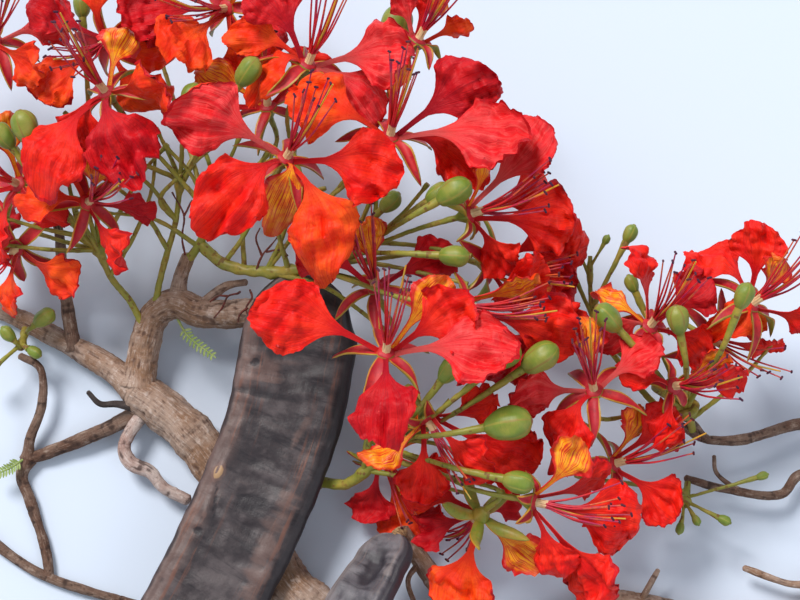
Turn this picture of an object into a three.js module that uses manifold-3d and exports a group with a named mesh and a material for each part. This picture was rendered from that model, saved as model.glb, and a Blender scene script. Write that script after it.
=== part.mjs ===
// A cut flowering branch of a flame tree, lying on the floor: a bare forking limb with its
// boughs and twigs, two flat dry pods, green flower stalks with their buds, and red blooms.
// Millimetres, +Z up. The branch was cut from its tree at the foot of the main limb.
import * as THREE from 'three';
import Module from 'manifold-3d';

const wasm = await Module();
wasm.setup();

// Driving sizes of the flower.
const PETAL_WIDTH = 36;
const STANDARD_WIDTH = 22;
const FULL_REACH = 50;
const PETAL_THICKNESS = 0.9;
const CLAW_WIDTH = 3.2;
const CLAW_SEAT = 3;
const CLAW_SINK = 0.8;
const SEPALS = 5;
const SEPAL_LENGTH = 25;
const SEPAL_BACK = 9;
const SEPAL_DROP = 1;
const CALYX_LENGTH = 7;
const CALYX_DOME = 1.5;
const FILAMENTS = 3;
const FILAMENT_LENGTH = 43;
const FILAMENT_RADIUS = 0.75;
const FILAMENT_SPREAD = 15;
const PEDICEL_RADIUS = 1.5;

// Driving sizes of the fruit and of the young leaves.
const POD_WIDTH = 56;
const POD_THICKNESS = 12;
const YOUNG_POD_WIDTH = 40;
const YOUNG_POD_THICKNESS = 11;
const LEAFLET_LENGTH = 4.5;
const LEAF_RIB = 0.7;

// How finely each kind of piece is faceted: sides round it, and length of a step along it.
const LIMB_STEP = 25;
const SPUR_SIDES = 4;
const SPUR_STEP = 16;
const STEM_SIDES = 5;
const STEM_STEP = 22;
const PEDICEL_STEP = 30;
const POD_SIDES = 8;

// Gap that every piece keeps to the piece that carries it, and to all the others.
const GAP = 0.3;
const SPARE = 0.1;
const SEAT = 0.55;

// The branch is laid out as it is seen by an eye above it: places are millimetres to the
// right and up in the sight plane, then height above the floor.
const DEGREE = Math.PI / 180;
const EYE_RISE = 78 * DEGREE;
const EYE_DISTANCE = 950;
const SIGHT_HEIGHT = 45;
const ORIGIN_SHIFT = [3.05, 75.6];

const RIGHT = new THREE.Vector3(1, 0, 0);
const UP = new THREE.Vector3(0, Math.sin(EYE_RISE), Math.cos(EYE_RISE));
const TO_EYE = new THREE.Vector3(0, -Math.cos(EYE_RISE), Math.sin(EYE_RISE));
const SIGHT = new THREE.Vector3(0, 0, SIGHT_HEIGHT);
const EYE = SIGHT.clone().addScaledVector(TO_EYE, EYE_DISTANCE);

// A place in the sight plane, brought along the line of sight to its height.
function seen([right, up, height]) {
  const inPlane = SIGHT.clone().addScaledVector(RIGHT, right).addScaledVector(UP, up);
  const share = (height - EYE.z) / (inPlane.z - EYE.z);
  return EYE.clone().lerp(inPlane, share);
}

// A direction by its bearing in the sight plane, from the right, and its rise to the eye.
function heading(bearing, rise) {
  const flat = Math.cos(rise * DEGREE);
  return new THREE.Vector3()
    .addScaledVector(RIGHT, flat * Math.cos(bearing * DEGREE))
    .addScaledVector(UP, flat * Math.sin(bearing * DEGREE))
    .addScaledVector(TO_EYE, Math.sin(rise * DEGREE));
}

// Main limb and boughs: places from the thick end to the thin one, and the two radii.
// A limb named in `from` carries this one; the limb starts inside it and is cut clear.
const LIMBS = [
  { name: 'main_limb', radii: [14, 11.3], sides: 9, from: [],
    path: [[34, -250, 13.6], [34, -214, 13.3], [16, -187, 12.9], [-14, -170, 12.5],
      [-45, -153, 12], [-61, -135, 11.8], [-80, -100, 11.4], [-98, -74, 11.2],
      [-118, -55, 11], [-131, -46, 11]],
    spurs: [
      { radii: [2.4, 1.2], path: [[-131, -54, 14], [-142, -52, 18], [-150, -52, 20], [-156, -46, 24]] },
    ] },
  { name: 'upper_bough', radii: [8.2, 6.8], sides: 7, from: ['main_limb'],
    path: [[-131, -44, 12], [-128, -24, 15], [-122, -8, 19], [-111, -2, 23], [-100, -6, 25],
      [-78, -7, 27], [-52, -3, 29], [-37, 0, 31]],
    spurs: [
      { radii: [4.4, 3.2], path: [[-112, -3, 23], [-110, 10, 28], [-106, 22, 33]] },
      { radii: [2.7, 1.8], path: [[-100, -3, 26], [-87, 7, 31], [-77, 9, 34]] },
    ] },
  { name: 'west_bough', radii: [6.6, 3.6], sides: 7, from: ['main_limb', 'upper_bough'],
    path: [[-132, -45, 11], [-143, -35, 9.5], [-162, -24, 7.5], [-185, -12, 5.6],
      [-200, -5, 4.8], [-222, 2, 3.9], [-240, 3, 3.3]],
    spurs: [] },
  { name: 'low_west_branch', radii: [4.4, 3], sides: 6, from: ['main_limb', 'west_bough'],
    path: [[-130, -57, 9], [-150, -66, 7], [-170, -74, 5], [-187, -80, 3.6]],
    spurs: [
      { radii: [2.9, 1.7],
        path: [[-186, -79, 4], [-185, -70, 7], [-179, -52, 11], [-180, -34, 14], [-190, -28, 16]] },
      { radii: [3, 2.4],
        path: [[-186, -80, 4], [-189, -88, 3.5], [-185, -100, 3.2], [-177, -126, 3], [-175, -140, 3]] },
      { radii: [2.6, 2.2],
        path: [[-207, -118, 2.8], [-190, -131, 2.8], [-175, -139, 3], [-158, -145, 3], [-132, -152, 3]] },
    ] },
  { name: 'crooked_twig', radii: [3.9, 3.1], sides: 6, from: ['main_limb', 'low_west_branch'],
    path: [[-124, -52, 10], [-135, -66, 12], [-138, -74, 12], [-135, -81, 12], [-125, -86, 11.5],
      [-118, -94, 10.5], [-106, -100, 9.5]],
    spurs: [] },
  { name: 'north_twig', radii: [3.7, 2.1], sides: 6, from: ['west_bough'],
    path: [[-163, -25, 9], [-166, -5, 15], [-169, 15, 21], [-170, 30, 27], [-173, 47, 33],
      [-174, 60, 38]],
    spurs: [{ radii: [1.7, 1.1], path: [[-173, 46, 33], [-181, 51, 36], [-195, 61, 40]] }] },
  { name: 'middle_branch', radii: [6.2, 4.6], sides: 7, from: ['main_limb'],
    path: [[34, -210, 14], [32, -176, 12], [23, -150, 12], [11, -131, 15], [0, -116, 21]],
    spurs: [{ radii: [1.6, 1.1], path: [[10, -131, 15], [4, -140, 18], [9, -156, 20]] }] },
  { name: 'right_bough', radii: [8, 6.2], sides: 7, from: ['main_limb', 'middle_branch'],
    path: [[33, -219, 13], [52, -196, 9.5], [72, -174, 7.6], [100, -153, 7.1], [125, -154, 6.7],
      [152, -161, 6.3], [178, -160, 6]],
    spurs: [
      { radii: [2.2, 1.4], path: [[101, -152, 9], [101, -140, 15], [99, -127, 19]] },
      { radii: [2, 1.2], path: [[119, -153, 9], [124, -144, 14], [129, -135, 17]] },
    ] },
  { name: 'right_arm', radii: [5.9, 4], sides: 7, from: ['right_bough'],
    path: [[176, -160, 6], [203, -155, 5.4], [226, -138, 5], [236, -104, 4.6], [231, -76, 4.6]],
    spurs: [
      { radii: [2.2, 1.5], path: [[229, -136, 5], [214, -141, 8], [196, -142, 10], [172, -134, 12]] },
    ] },
  { name: 'right_twig_upper', radii: [3.6, 2.1], sides: 6, from: ['right_arm'],
    path: [[231, -78, 5], [222, -64, 10], [200, -62, 16], [170, -70, 22], [151, -69, 27],
      [141, -63, 30]],
    spurs: [{ radii: [1.8, 1.2], path: [[152, -69, 27], [146, -61, 31], [131, -57, 34]] }] },
  { name: 'right_twig_lower', radii: [3, 1.9], sides: 6, from: ['right_arm'],
    path: [[235, -101, 5], [215, -86, 9], [199, -88, 12], [191, -97, 13], [160, -94, 17],
      [143, -89, 21]],
    spurs: [{ radii: [1.5, 1], path: [[168, -95, 16], [158, -86, 18], [157, -78, 20]] }] },
  { name: 'middle_spur', radii: [3.8, 3], sides: 6, from: ['main_limb'],
    path: [[-82, -101, 12], [-66, -100, 14], [-52, -98, 16], [-39, -91, 21]],
    spurs: [] },
];

// The two pods: width, thickness, roll at both ends and how narrow the neck is, then what
// carries them, the stalk and its radii, and the places down their length.
const PODS = [
  { name: 'pod_old', width: POD_WIDTH, thickness: POD_THICKNESS, roll: [0, 0], neck: 0.04,
    from: 'upper_bough', radii: [4, 3.4], stalk: [[-46, -2, 31], [-47, -5, 38], [-49, -12, 45]],
    path: [[-36, 9, 44], [-47, -9, 44], [-58, -60, 38], [-73, -100, 34], [-97, -150, 31.5],
      [-126, -202, 24], [-157, -255, 16.5], [-190, -307, 9.5], [-221, -359, 5.2]] },
  { name: 'pod_young', width: YOUNG_POD_WIDTH, thickness: YOUNG_POD_THICKNESS, roll: [48, -6], neck: 0.1,
    from: 'middle_branch', radii: [3.6, 3], stalk: [[1, -117, 21], [-1, -118, 27], [-5, -123, 35]],
    path: [[-2, -118, 32], [-11, -134, 41], [-22, -154, 48], [-34, -186, 45], [-40, -224, 32],
      [-35, -264, 16], [-22, -298, 5]] },
];

// Flower stalks: the stem, its radii, what carries it, and the pedicels that leave it. A
// pedicel starts at a share of the stem's length and goes to a bloom, or to a bud's middle.
const STALKS = [
  { name: 'stalk_west', from: 'upper_bough', radii: [3.1, 2.3],
    stem: [[-127, -18, 19], [-134, -2, 27], [-145, 12, 32], [-151, 25, 37], [-160, 32, 42]],
    blooms: [['bloom_west_0', 0.9], ['bloom_west_3', 0.8], ['bloom_west_4', 0.95], ['bloom_west_5', 1]],
    buds: [[-187, 86, 92, 7.5, 1], [-198, 82, 84, 6, 1], [-159, 147, 66, 5.2, 0.9]] },
  { name: 'stalk_leaning', from: 'upper_bough', radii: [2.9, 2],
    stem: [[-123, -6, 22], [-120, 10, 32], [-116, 25, 38], [-112, 40, 45], [-110, 60, 52]],
    blooms: [['bloom_top_0', 1]],
    buds: [[-104, 100, 92, 7, 1], [-76, 114, 106, 6.6, 1]] },
  { name: 'stalk_spur', from: 'upper_bough', radii: [3.2, 2.6],
    stem: [[-106, 20, 33], [-101, 27, 38], [-97, 36, 44], [-96, 45, 50]],
    blooms: [['bloom_west_1', 1], ['bloom_west_2', 1], ['bloom_top_4', 1]],
    buds: [] },
  { name: 'stalk_middle', from: 'stalk_spur', radii: [3.4, 2.7],
    stem: [[-99, 27, 38], [-88, 18, 40], [-67, 14, 46], [-45, 16, 54], [-30, 21, 59], [-14, 29, 63]],
    blooms: [['bloom_top_2', 0.55], ['bloom_top_1', 0.8], ['bloom_top_3', 1], ['bloom_top_5', 1],
      ['bloom_centre_1', 1], ['bloom_centre_3', 1], ['bloom_centre_4', 1], ['bloom_centre_5', 0.7]],
    buds: [[27, 54, 112, 8, 1], [19, 53, 98, 6, 1], [27, 22, 106, 6.5, 1], [-5, 49, 84, 5.5, 0.9],
      [-2, 137, 78, 9.5, 1]] },
  { name: 'stalk_low', from: 'middle_spur', radii: [3.3, 2.7],
    stem: [[-40, -91, 22], [-27, -92, 30], [-17, -85, 37], [-8, -77, 43], [-8, -69, 50]],
    blooms: [['bloom_centre_2', 0.55], ['bloom_low_1', 1], ['bloom_low_2', 0.9],
      ['bloom_low_3', 0.8], ['bloom_low_4', 1]],
    buds: [[54, -62, 104, 10, 1], [59, -91, 94, 6.6, 0.95], [25, -35, 94, 6.5, 1],
      [53, -28, 104, 7, 1], [70, -29, 102, 8.5, 1]] },
  { name: 'stalk_east', from: 'right_twig_upper', radii: [2.8, 2.2],
    stem: [[146, -65, 29], [145, -60, 36], [142, -53, 43]],
    blooms: [['bloom_east_0', 1], ['bloom_east_1', 1], ['bloom_east_2', 1], ['bloom_east_3', 0.9],
      ['bloom_east_4', 1]],
    buds: [[104, -9, 92, 8.5, 1], [139, -10, 98, 7.6, 1], [172, 2, 104, 6.8, 1],
      [116, 8, 60, 5, 1], [103, -20, 58, 5, 1]] },
  { name: 'stalk_bud_raceme', from: 'right_twig_upper', radii: [2, 1.3],
    stem: [[132, -57, 33], [120, -44, 37], [103, -22, 41], [97, -10, 43], [95, 10, 46], [95, 22, 48]],
    blooms: [],
    buds: [[86, 31, 52, 3.2, 0.9], [103, 30, 52, 2.4, 1], [115, 33, 54, 4.4, 0.8],
      [85, 17, 50, 3.6, 0.75], [81, 3, 50, 4.2, 0.6]] },
  { name: 'stalk_bud_umbel', from: 'right_twig_lower', radii: [2, 1.7],
    stem: [[144, -90, 20], [143, -97, 23], [142, -102, 27]],
    blooms: [['bloom_east_5', 0.5]],
    buds: [[127, -105, 30, 3.4, 1], [140, -114, 30, 2.8, 1], [148, -110, 32, 2.6, 1],
      [162, -110, 30, 3.2, 1], [181, -88, 33, 2.8, 0.9]] },
  { name: 'stalk_far_west', from: 'west_bough', radii: [2.2, 1.6],
    stem: [[-187, -13, 7], [-188, -18, 12], [-190, -24, 17]],
    blooms: [],
    buds: [[-178, -9, 22, 5.6, 0.4], [-196, -17, 22, 4.2, 1], [-183, -26, 20, 3.8, 0.9],
      [-205, -36, 20, 3.6, 1]] },
];

// The blooms: where the middle is, which way it faces (bearing and rise), then the petals.
// A petal has the bearing of its tip, its reach, its rise to the eye, and the turn of its
// blade away from the eye. The first petal is the narrower, yellow-marked one.
const BLOOMS = [
  { name: 'bloom_west_0', at: [-203, 130, 72], faces: [60, 50],
    petals: [[95, 46, 20, 30], [15, 40, 10, 160], [150, 50, 10, 20], [215, 50, 0, 25],
      [320, 34, 25, 40]] },
  { name: 'bloom_west_1', at: [-147, 104, 96], faces: [125, 45],
    petals: [[75, 36, -20, 20], [238, 58, 14, 15], [293, 52, 22, 5], [352, 44, 35, 50],
      [262, 44, -22, 20]] },
  { name: 'bloom_west_2', at: [-147, 129, 78], faces: [230, 55],
    petals: [[90, 42, 5, 200], [214, 44, -6, 10], [310, 42, -18, 20], [10, 46, -21, 30],
      [150, 40, 8, 30]] },
  { name: 'bloom_west_3', at: [-156, 49, 74], faces: [20, 60],
    petals: [[60, 26, 37, 40], [352, 32, 5, 60], [297, 38, 20, 50], [180, 34, -5, 30],
      [120, 34, 29, 30]] },
  { name: 'bloom_west_4', at: [-191, 58, 60], faces: [150, 58],
    petals: [[100, 34, 15, 20], [200, 38, 5, 10], [255, 38, 5, 45], [318, 30, 6, 40],
      [25, 32, -5, 30]] },
  { name: 'bloom_west_5', at: [-192, 26, 44], faces: [240, 60],
    petals: [[185, 34, 0, 20], [262, 32, 12, 40], [330, 36, 6, 45], [110, 34, -41, 30]] },
  { name: 'bloom_top_0', at: [-87, 146, 78], faces: [200, 55],
    petals: [[30, 40, 0, 30], [186, 54, 26, 10], [224, 48, 45, 15], [300, 42, -18, 20],
      [98, 52, -5, 20]] },
  { name: 'bloom_top_1', at: [-46, 118, 104], faces: [65, 40],
    petals: [[160, 42, -12, 170], [120, 46, 8, 5], [4, 50, 12, 165], [322, 42, -5, 160],
      [210, 36, -20, 30]] },
  { name: 'bloom_top_2', at: [-57, 71, 108], faces: [55, 45],
    petals: [[253, 40, -25, 10], [157, 58, 14, 165], [221, 54, 14, 5], [351, 54, 14, 10],
      [287, 60, 6, 15]] },
  { name: 'bloom_top_3', at: [-5, 82, 106], faces: [75, 42],
    petals: [[88, 46, -14, 15], [30, 56, 8, 5], [356, 66, 15, 160], [338, 50, -14, 15],
      [158, 50, 8, 20]] },
  { name: 'bloom_top_4', at: [-66, 97, 66], faces: [100, 45],
    petals: [[150, 38, 10, 20], [190, 40, 0, 10], [95, 42, 19, 20], [40, 38, -16, 30]] },
  { name: 'bloom_top_5', at: [9, 130, 88], faces: [60, 30],
    petals: [[60, 26, 10, 60], [110, 24, 15, 200], [20, 26, 5, 50], [80, 28, -10, 30]] },
  { name: 'bloom_centre_1', at: [35, 43, 96], faces: [15, 25],
    petals: [[75, 34, 16, 50], [50, 56, 8, 165], [356, 50, 6, 20], [20, 48, -22, 30],
      [300, 34, -21, 40]] },
  { name: 'bloom_centre_2', at: [-7, -26, 104], faces: [82, 45],
    petals: [[50, 44, 8, 10], [162, 64, 4, 5], [30, 46, 16, 5], [0, 62, 21, 165],
      [268, 48, 38, 10]] },
  { name: 'bloom_centre_3', at: [45, 17, 68], faces: [345, 25],
    petals: [[330, 34, 20, 40], [28, 48, 16, 15], [6, 50, -6, 30], [340, 46, -12, 20],
      [300, 30, -28, 40]] },
  { name: 'bloom_centre_4', at: [31, -3, 98], faces: [352, 20],
    petals: [[15, 38, 10, 45], [346, 58, 7, 5], [312, 46, -8, 15], [20, 46, -11, 30],
      [285, 38, -26, 30]] },
  { name: 'bloom_centre_5', at: [-12, 6, 70], faces: [110, 40],
    petals: [[100, 36, 23, 20], [145, 44, -10, 15], [20, 42, -6, 30]] },
  { name: 'bloom_low_1', at: [67, -101, 84], faces: [350, 20],
    petals: [[52, 36, 14, 25], [349, 50, 12, 5], [16, 40, -10, 50], [285, 38, -6, 35],
      [303, 60, -5, 50]] },
  { name: 'bloom_low_2', at: [40, -108, 58], faces: [235, -50],
    petals: [[320, 40, -14, 20], [256, 50, -12, 10], [150, 44, -30, 15], [200, 36, -30, 30],
      [20, 30, -40, 30]] },
  { name: 'bloom_low_3', at: [-8, -78, 24], faces: [300, 20],
    petals: [[60, 30, 8, 40], [290, 46, -1, 10], [255, 34, 0, 30], [340, 32, 4, 40]] },
  { name: 'bloom_low_4', at: [14, -60, 76], faces: [300, 20],
    petals: [[215, 34, 0, 40], [312, 42, 28, 40], [340, 56, 2, 30], [265, 40, -3, 20],
      [20, 34, 17, 50]] },
  { name: 'bloom_east_0', at: [97, -45, 82], faces: [108, 50],
    petals: [[96, 34, -6, 30], [112, 44, -8, 50], [186, 38, 0, 150], [250, 42, -11, 30],
      [35, 36, 5, 150]] },
  { name: 'bloom_east_1', at: [125, -13, 74], faces: [60, 50],
    petals: [[150, 30, -1, 40], [98, 38, -6, 60], [40, 36, 16, 20], [205, 30, -22, 150],
      [330, 32, -16, 30]] },
  { name: 'bloom_east_2', at: [176, -2, 78], faces: [40, 40],
    petals: [[50, 26, 20, 50], [86, 38, 10, 5], [137, 38, -17, 40], [340, 34, 5, 60],
      [220, 28, -28, 30]] },
  { name: 'bloom_east_3', at: [156, -20, 54], faces: [330, 40],
    petals: [[20, 28, 0, 50], [350, 34, 8, 60], [300, 26, -10, 50], [250, 26, -33, 30]] },
  { name: 'bloom_east_4', at: [137, -43, 74], faces: [10, 60],
    petals: [[30, 28, 1, 40], [8, 34, 6, 60], [165, 28, 6, 40], [250, 28, 5, 60]] },
  { name: 'bloom_east_5', at: [107, -82, 48], faces: [20, 30],
    petals: [[60, 30, 14, 40], [38, 40, 10, 30], [322, 38, 8, 20], [250, 32, -5, 40]] },
];

// Young leaves that are just opening: the rib, and how many pairs of leaflets it has.
const LEAVES = [
  { name: 'young_leaf_bough', from: 'upper_bough', pairs: 5,
    rib: [[-112, -8, 22], [-106, -18, 26], [-92, -29, 27]] },
  { name: 'young_leaf_twig', from: 'low_west_branch', pairs: 5,
    rib: [[-186, -78, 5], [-195, -84, 12], [-204, -88, 13]] },
];

const COLOURS = {
  wood: { color: 0x9a8471, roughness: 0.85 },
  pod: { color: 0x4a4442, roughness: 0.7 },
  stalk: { color: 0x8c8f2a, roughness: 0.6 },
  bloom: { color: 0xe8341c, roughness: 0.55 },
  leaf: { color: 0x7fa83c, roughness: 0.6 },
};

// A solid from points and triangles. The triangles are turned over where they face inward.
function solidOf(points, triangles) {
  const volume = triangles.reduce((sum, [a, b, c]) => (
    sum + points[a].dot(points[b].clone().cross(points[c]))), 0);
  const outward = volume > 0 ? triangles : triangles.map(([a, b, c]) => [a, c, b]);
  const vertProperties = new Float32Array(points.flatMap((p) => [p.x, p.y, p.z]));
  return new wasm.Manifold(new wasm.Mesh({
    numProp: 3, vertProperties, triVerts: new Uint32Array(outward.flat()),
  }));
}

// A solid skinned over flat rings of points, with a flat face at each end.
function loft(rings) {
  const sides = rings[0].length;
  const points = rings.flat();
  const triangles = [];
  for (let i = 0; i + 1 < rings.length; i += 1) {
    for (let j = 0; j < sides; j += 1) {
      const a = i * sides + j;
      const b = i * sides + ((j + 1) % sides);
      triangles.push([a, b, b + sides], [a, b + sides, a + sides]);
    }
  }
  const last = (rings.length - 1) * sides;
  for (let j = 1; j + 1 < sides; j += 1) {
    triangles.push([0, j + 1, j], [last, last + j, last + j + 1]);
  }
  return solidOf(points, triangles);
}

// A ring of points round a centre, across two directions.
function ring(centre, across, over, sides, wide, tall = wide) {
  return Array.from({ length: sides }, (_, j) => {
    const angle = (2 * Math.PI * j) / sides;
    return centre.clone()
      .addScaledVector(across, wide * Math.cos(angle))
      .addScaledVector(over, tall * Math.sin(angle));
  });
}

// Rings down a tapering round limb along a smooth path of points. `grow` makes it that
// much thicker and longer all round, which cuts a carried piece clear of it.
function limbRings(points, [thick, thin], sides, step, grow = 0) {
  const curve = new THREE.CatmullRomCurve3(points, false, 'centripetal');
  const count = Math.max(2, Math.round(curve.getLength() / step));
  const frames = curve.computeFrenetFrames(count, false);
  return frames.tangents.map((along, i) => {
    const longer = i === 0 ? -grow : grow * (i === count);
    const centre = curve.getPointAt(i / count).addScaledVector(along, longer);
    const radius = thick + ((thin - thick) * i) / count + grow;
    return ring(centre, frames.normals[i], frames.binormals[i], sides, radius);
  });
}

// A limb as a solid.
function limb(...shape) {
  return loft(limbRings(...shape));
}

// A limb with its thicker copy.
function limbPair(points, radii, sides, step) {
  return {
    solid: limb(points, radii, sides, step),
    halo: limb(points, radii, sides, step, GAP + SPARE),
  };
}

// Two such pairs as one.
function fuse(a, b) {
  return { solid: a.solid.add(b.solid), halo: a.halo.add(b.halo) };
}

// The largest single body left after a cut.
function largest(solid) {
  return solid.decompose().reduce((best, piece) => (piece.volume() > best.volume() ? piece : best));
}

// Every piece by its name, and the thicker copy that cuts others clear of it.
const placed = new Map();
const halos = new Map();

// Whether two boxes come within a reach of each other.
function boxesNear(a, b, reach) {
  return [0, 1, 2].every((k) => a.min[k] - reach < b.max[k] && b.min[k] - reach < a.max[k]);
}

// Whether a solid keeps the gap to everything that is placed, apart from the named pieces.
function isClear(solid, besides = []) {
  const box = solid.boundingBox();
  if (box.min[2] < 0) return false;
  for (const [name, other] of placed) {
    if (besides.includes(name) || !boxesNear(box, other.boundingBox(), GAP)) continue;
    if (solid.minGap(other, GAP + SPARE) < GAP) return false;
  }
  return true;
}

// Cuts a piece clear of what carries it and flat where it lies on the floor, and keeps it.
function place(name, pair, from = []) {
  let solid = from.reduce((rest, carrier) => rest.subtract(halos.get(carrier)), pair.solid);
  solid = largest(solid.trimByPlane([0, 0, 1], 0));
  placed.set(name, solid);
  halos.set(name, pair.halo);
}

function makeLimbs() {
  for (const { name, radii, sides, from, path, spurs } of LIMBS) {
    let pair = limbPair(path.map(seen), radii, sides, LIMB_STEP);
    for (const spur of spurs) {
      pair = fuse(pair, limbPair(spur.path.map(seen), spur.radii, SPUR_SIDES, SPUR_STEP));
    }
    place(name, pair, from);
  }
}

// Where a pod's sections stand along it, where its full width starts and ends, and how
// blunt its tip and its edges are.
const POD_STATIONS = [0, 0.015, 0.045, 0.09, 0.19, 0.31, 0.43, 0.55, 0.67, 0.79, 0.89, 0.955, 0.99];
const POD_SHOULDER = 0.09;
const POD_TAPER = 0.82;
const POD_TIP = 0.05;
const POD_TIP_BLUNT = 2.4;
const POD_NECK_DEPTH = 0.3;
const POD_EDGE_BLUNT = 0.8;
const POD_FACE_FLAT = 0.6;

// How wide a pod is at a share of its length: a short neck, a long even body, a blunt tip.
function podShare(share, neck) {
  if (share < POD_SHOULDER) {
    return neck + (1 - neck) * Math.sqrt(1 - (1 - share / POD_SHOULDER) ** 2);
  }
  if (share > POD_TAPER) {
    const past = (share - POD_TAPER) / (1 - POD_TAPER);
    return Math.max(POD_TIP, Math.sqrt(1 - past ** POD_TIP_BLUNT));
  }
  return 1;
}

// A number raised to a power, with its sign kept.
function signedPower(value, power) {
  return Math.sign(value) * Math.abs(value) ** power;
}

// One section of a pod: a blunt-edged oval.
function podRing(centre, side, over, wide, tall) {
  return Array.from({ length: POD_SIDES }, (_, j) => {
    const angle = (2 * Math.PI * (j + 0.5)) / POD_SIDES;
    return centre.clone()
      .addScaledVector(side, wide * signedPower(Math.cos(angle), POD_EDGE_BLUNT))
      .addScaledVector(over, tall * signedPower(Math.sin(angle), POD_FACE_FLAT));
  });
}

// A flat pod with its stalk, rolled a little from end to end.
function makePods() {
  for (const { name, width, thickness, roll, neck, path, from, radii, stalk } of PODS) {
    const curve = new THREE.CatmullRomCurve3(path.map(seen), false, 'centripetal');
    const body = loft(POD_STATIONS.map((share) => {
      const along = curve.getTangentAt(share);
      const side = along.clone().cross(TO_EYE).normalize();
      side.applyAxisAngle(along, THREE.MathUtils.lerp(...roll, share) * DEGREE);
      const over = side.clone().cross(along).normalize();
      const wide = (podShare(share, neck) * width) / 2;
      const tall = (podShare(share, POD_NECK_DEPTH) * thickness) / 2;
      return podRing(curve.getPointAt(share), side, over, wide, tall);
    }));
    const foot = limb(stalk.map(seen), radii, SPUR_SIDES, SPUR_STEP);
    place(name, { solid: body.add(foot), halo: body }, [from]);
  }
}

// A bud: its length for its width, and how wide it is at each share of that length.
const SMALL_BUD = 5;
const BUD_LENGTH = 1.3;
const BUD_ROWS = [[-0.45, 0.8], [0.25, 1], [0.85, 0.5]];
const BUD_STICK = 0.35;

// Bends that a pedicel may take: how far it swings out, and how far it runs straight into
// its bloom as a share of its length.
const BENDS = [
  [0, 0.3], [4, 0.3], [8, 0.3], [0, 0.6], [6, 0.6], [13, 0.4], [18, 0.4], [12, 0.8], [24, 0.5],
];
const BEND_TURNS = 6;
const PEDICEL_SIDES = 3;
const PEDICEL_FOOT = 1.15;
const PEDICEL_SPREAD = 0.05;
const LAST_PEDICEL = 0.985;

// A bent path from a start to an end that is reached along a given direction.
function bentPath(start, end, arriving, bend, straight) {
  const before = end.clone().addScaledVector(arriving, -straight * start.distanceTo(end));
  const middle = start.clone().lerp(before, 0.5).add(bend);
  return [start, middle, before, end];
}

// Rings of a bud, an egg with its broad end outward, after the last ring of its pedicel.
function budRings(lastRing, middle, outward, radius) {
  const sides = lastRing.length;
  const foot = new THREE.Vector3();
  lastRing.forEach((p) => foot.addScaledVector(p, 1 / sides));
  const across = lastRing[0].clone().sub(foot).normalize();
  const over = outward.clone().cross(across).normalize();
  return BUD_ROWS.map(([share, wide]) => {
    const centre = middle.clone().addScaledVector(outward, share * BUD_LENGTH * radius);
    return ring(centre, across, over, sides, wide * radius);
  });
}

// The first bend of a pedicel, from none to wide, that keeps clear of what is placed. It
// ends bare, or in a bud of the given radius round the end of its path.
function pedicel(start, end, arriving, radius, besides, budRadius = 0) {
  const run = end.clone().sub(start).normalize();
  const across = run.clone().cross(TO_EYE).normalize();
  const foot = end.clone().addScaledVector(arriving, -BUD_LENGTH * budRadius);
  const budSides = budRadius > SMALL_BUD ? 5 : 4;
  for (const [size, straight] of BENDS) {
    for (let turn = 0; turn < (size ? BEND_TURNS : 1); turn += 1) {
      const bend = across.clone().applyAxisAngle(run, (2 * Math.PI * turn) / BEND_TURNS);
      const path = bentPath(start, foot, arriving, bend.multiplyScalar(size), straight);
      const radii = [PEDICEL_FOOT * radius, radius];
      const rings = limbRings(path, radii, budRadius ? budSides : PEDICEL_SIDES, PEDICEL_STEP);
      if (budRadius) rings.push(...budRings(rings.at(-1), end, arriving, budRadius));
      const solid = loft(rings);
      if (isClear(solid, besides)) return solid;
    }
  }
  return null;
}

// Where the next pedicel leaves a stem: each a little lower down than the one before.
function leaving(curve, share, order) {
  return curve.getPointAt(share * (LAST_PEDICEL - PEDICEL_SPREAD * order));
}

// A stem with its buds.
function makeStalk({ name, from, radii, stem, buds }) {
  const points = stem.map(seen);
  const pair = limbPair(points, radii, STEM_SIDES, STEM_STEP);
  const curve = new THREE.CatmullRomCurve3(points, false, 'centripetal');
  const sticks = buds.map(([right, up, height, radius, share], i) => {
    const middle = seen([right, up, height]);
    const start = leaving(curve, share, i);
    const outward = middle.clone().sub(start).normalize();
    return pedicel(start, middle, outward, Math.min(PEDICEL_RADIUS, BUD_STICK * radius), [from], radius);
  });
  const solid = sticks.filter(Boolean).reduce((whole, stick) => whole.add(stick), pair.solid);
  place(name, { solid, halo: pair.halo }, [from]);
}

// The pedicels that go from a stem to its blooms.
function addPedicels({ name, stem, blooms, buds }) {
  const curve = new THREE.CatmullRomCurve3(stem.map(seen), false, 'centripetal');
  const firstPlace = buds.length > 0 ? 0.5 : 0;
  blooms.forEach(([bloomName, share], i) => {
    const { at, faces } = BLOOMS.find((bloom) => bloom.name === bloomName);
    const { facing } = bloomAxes(faces);
    const end = seen(at).addScaledVector(facing, -(CALYX_LENGTH + SEAT));
    const start = leaving(curve, share, firstPlace + i);
    const stick = pedicel(start, end, facing, PEDICEL_RADIUS, [name]);
    if (stick) placed.set(name, placed.get(name).add(stick));
  });
}

// A petal's blade: how far out its outline turns and its half width there, where its middle
// stands, how much it arches, more where it bends back, and how much its sides sink.
const BLADE_OUTLINE = [[0.42, 0.08], [0.64, 0.47], [0.9, 0.42]];
const BLADE_MIDDLE = 0.72;
const PETAL_ARCH = 0.1;
const PETAL_ARCH_BACK = 0.35;
const PETAL_CUP = 0.006;
const CLAW_SHARE = 0.3;

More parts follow.
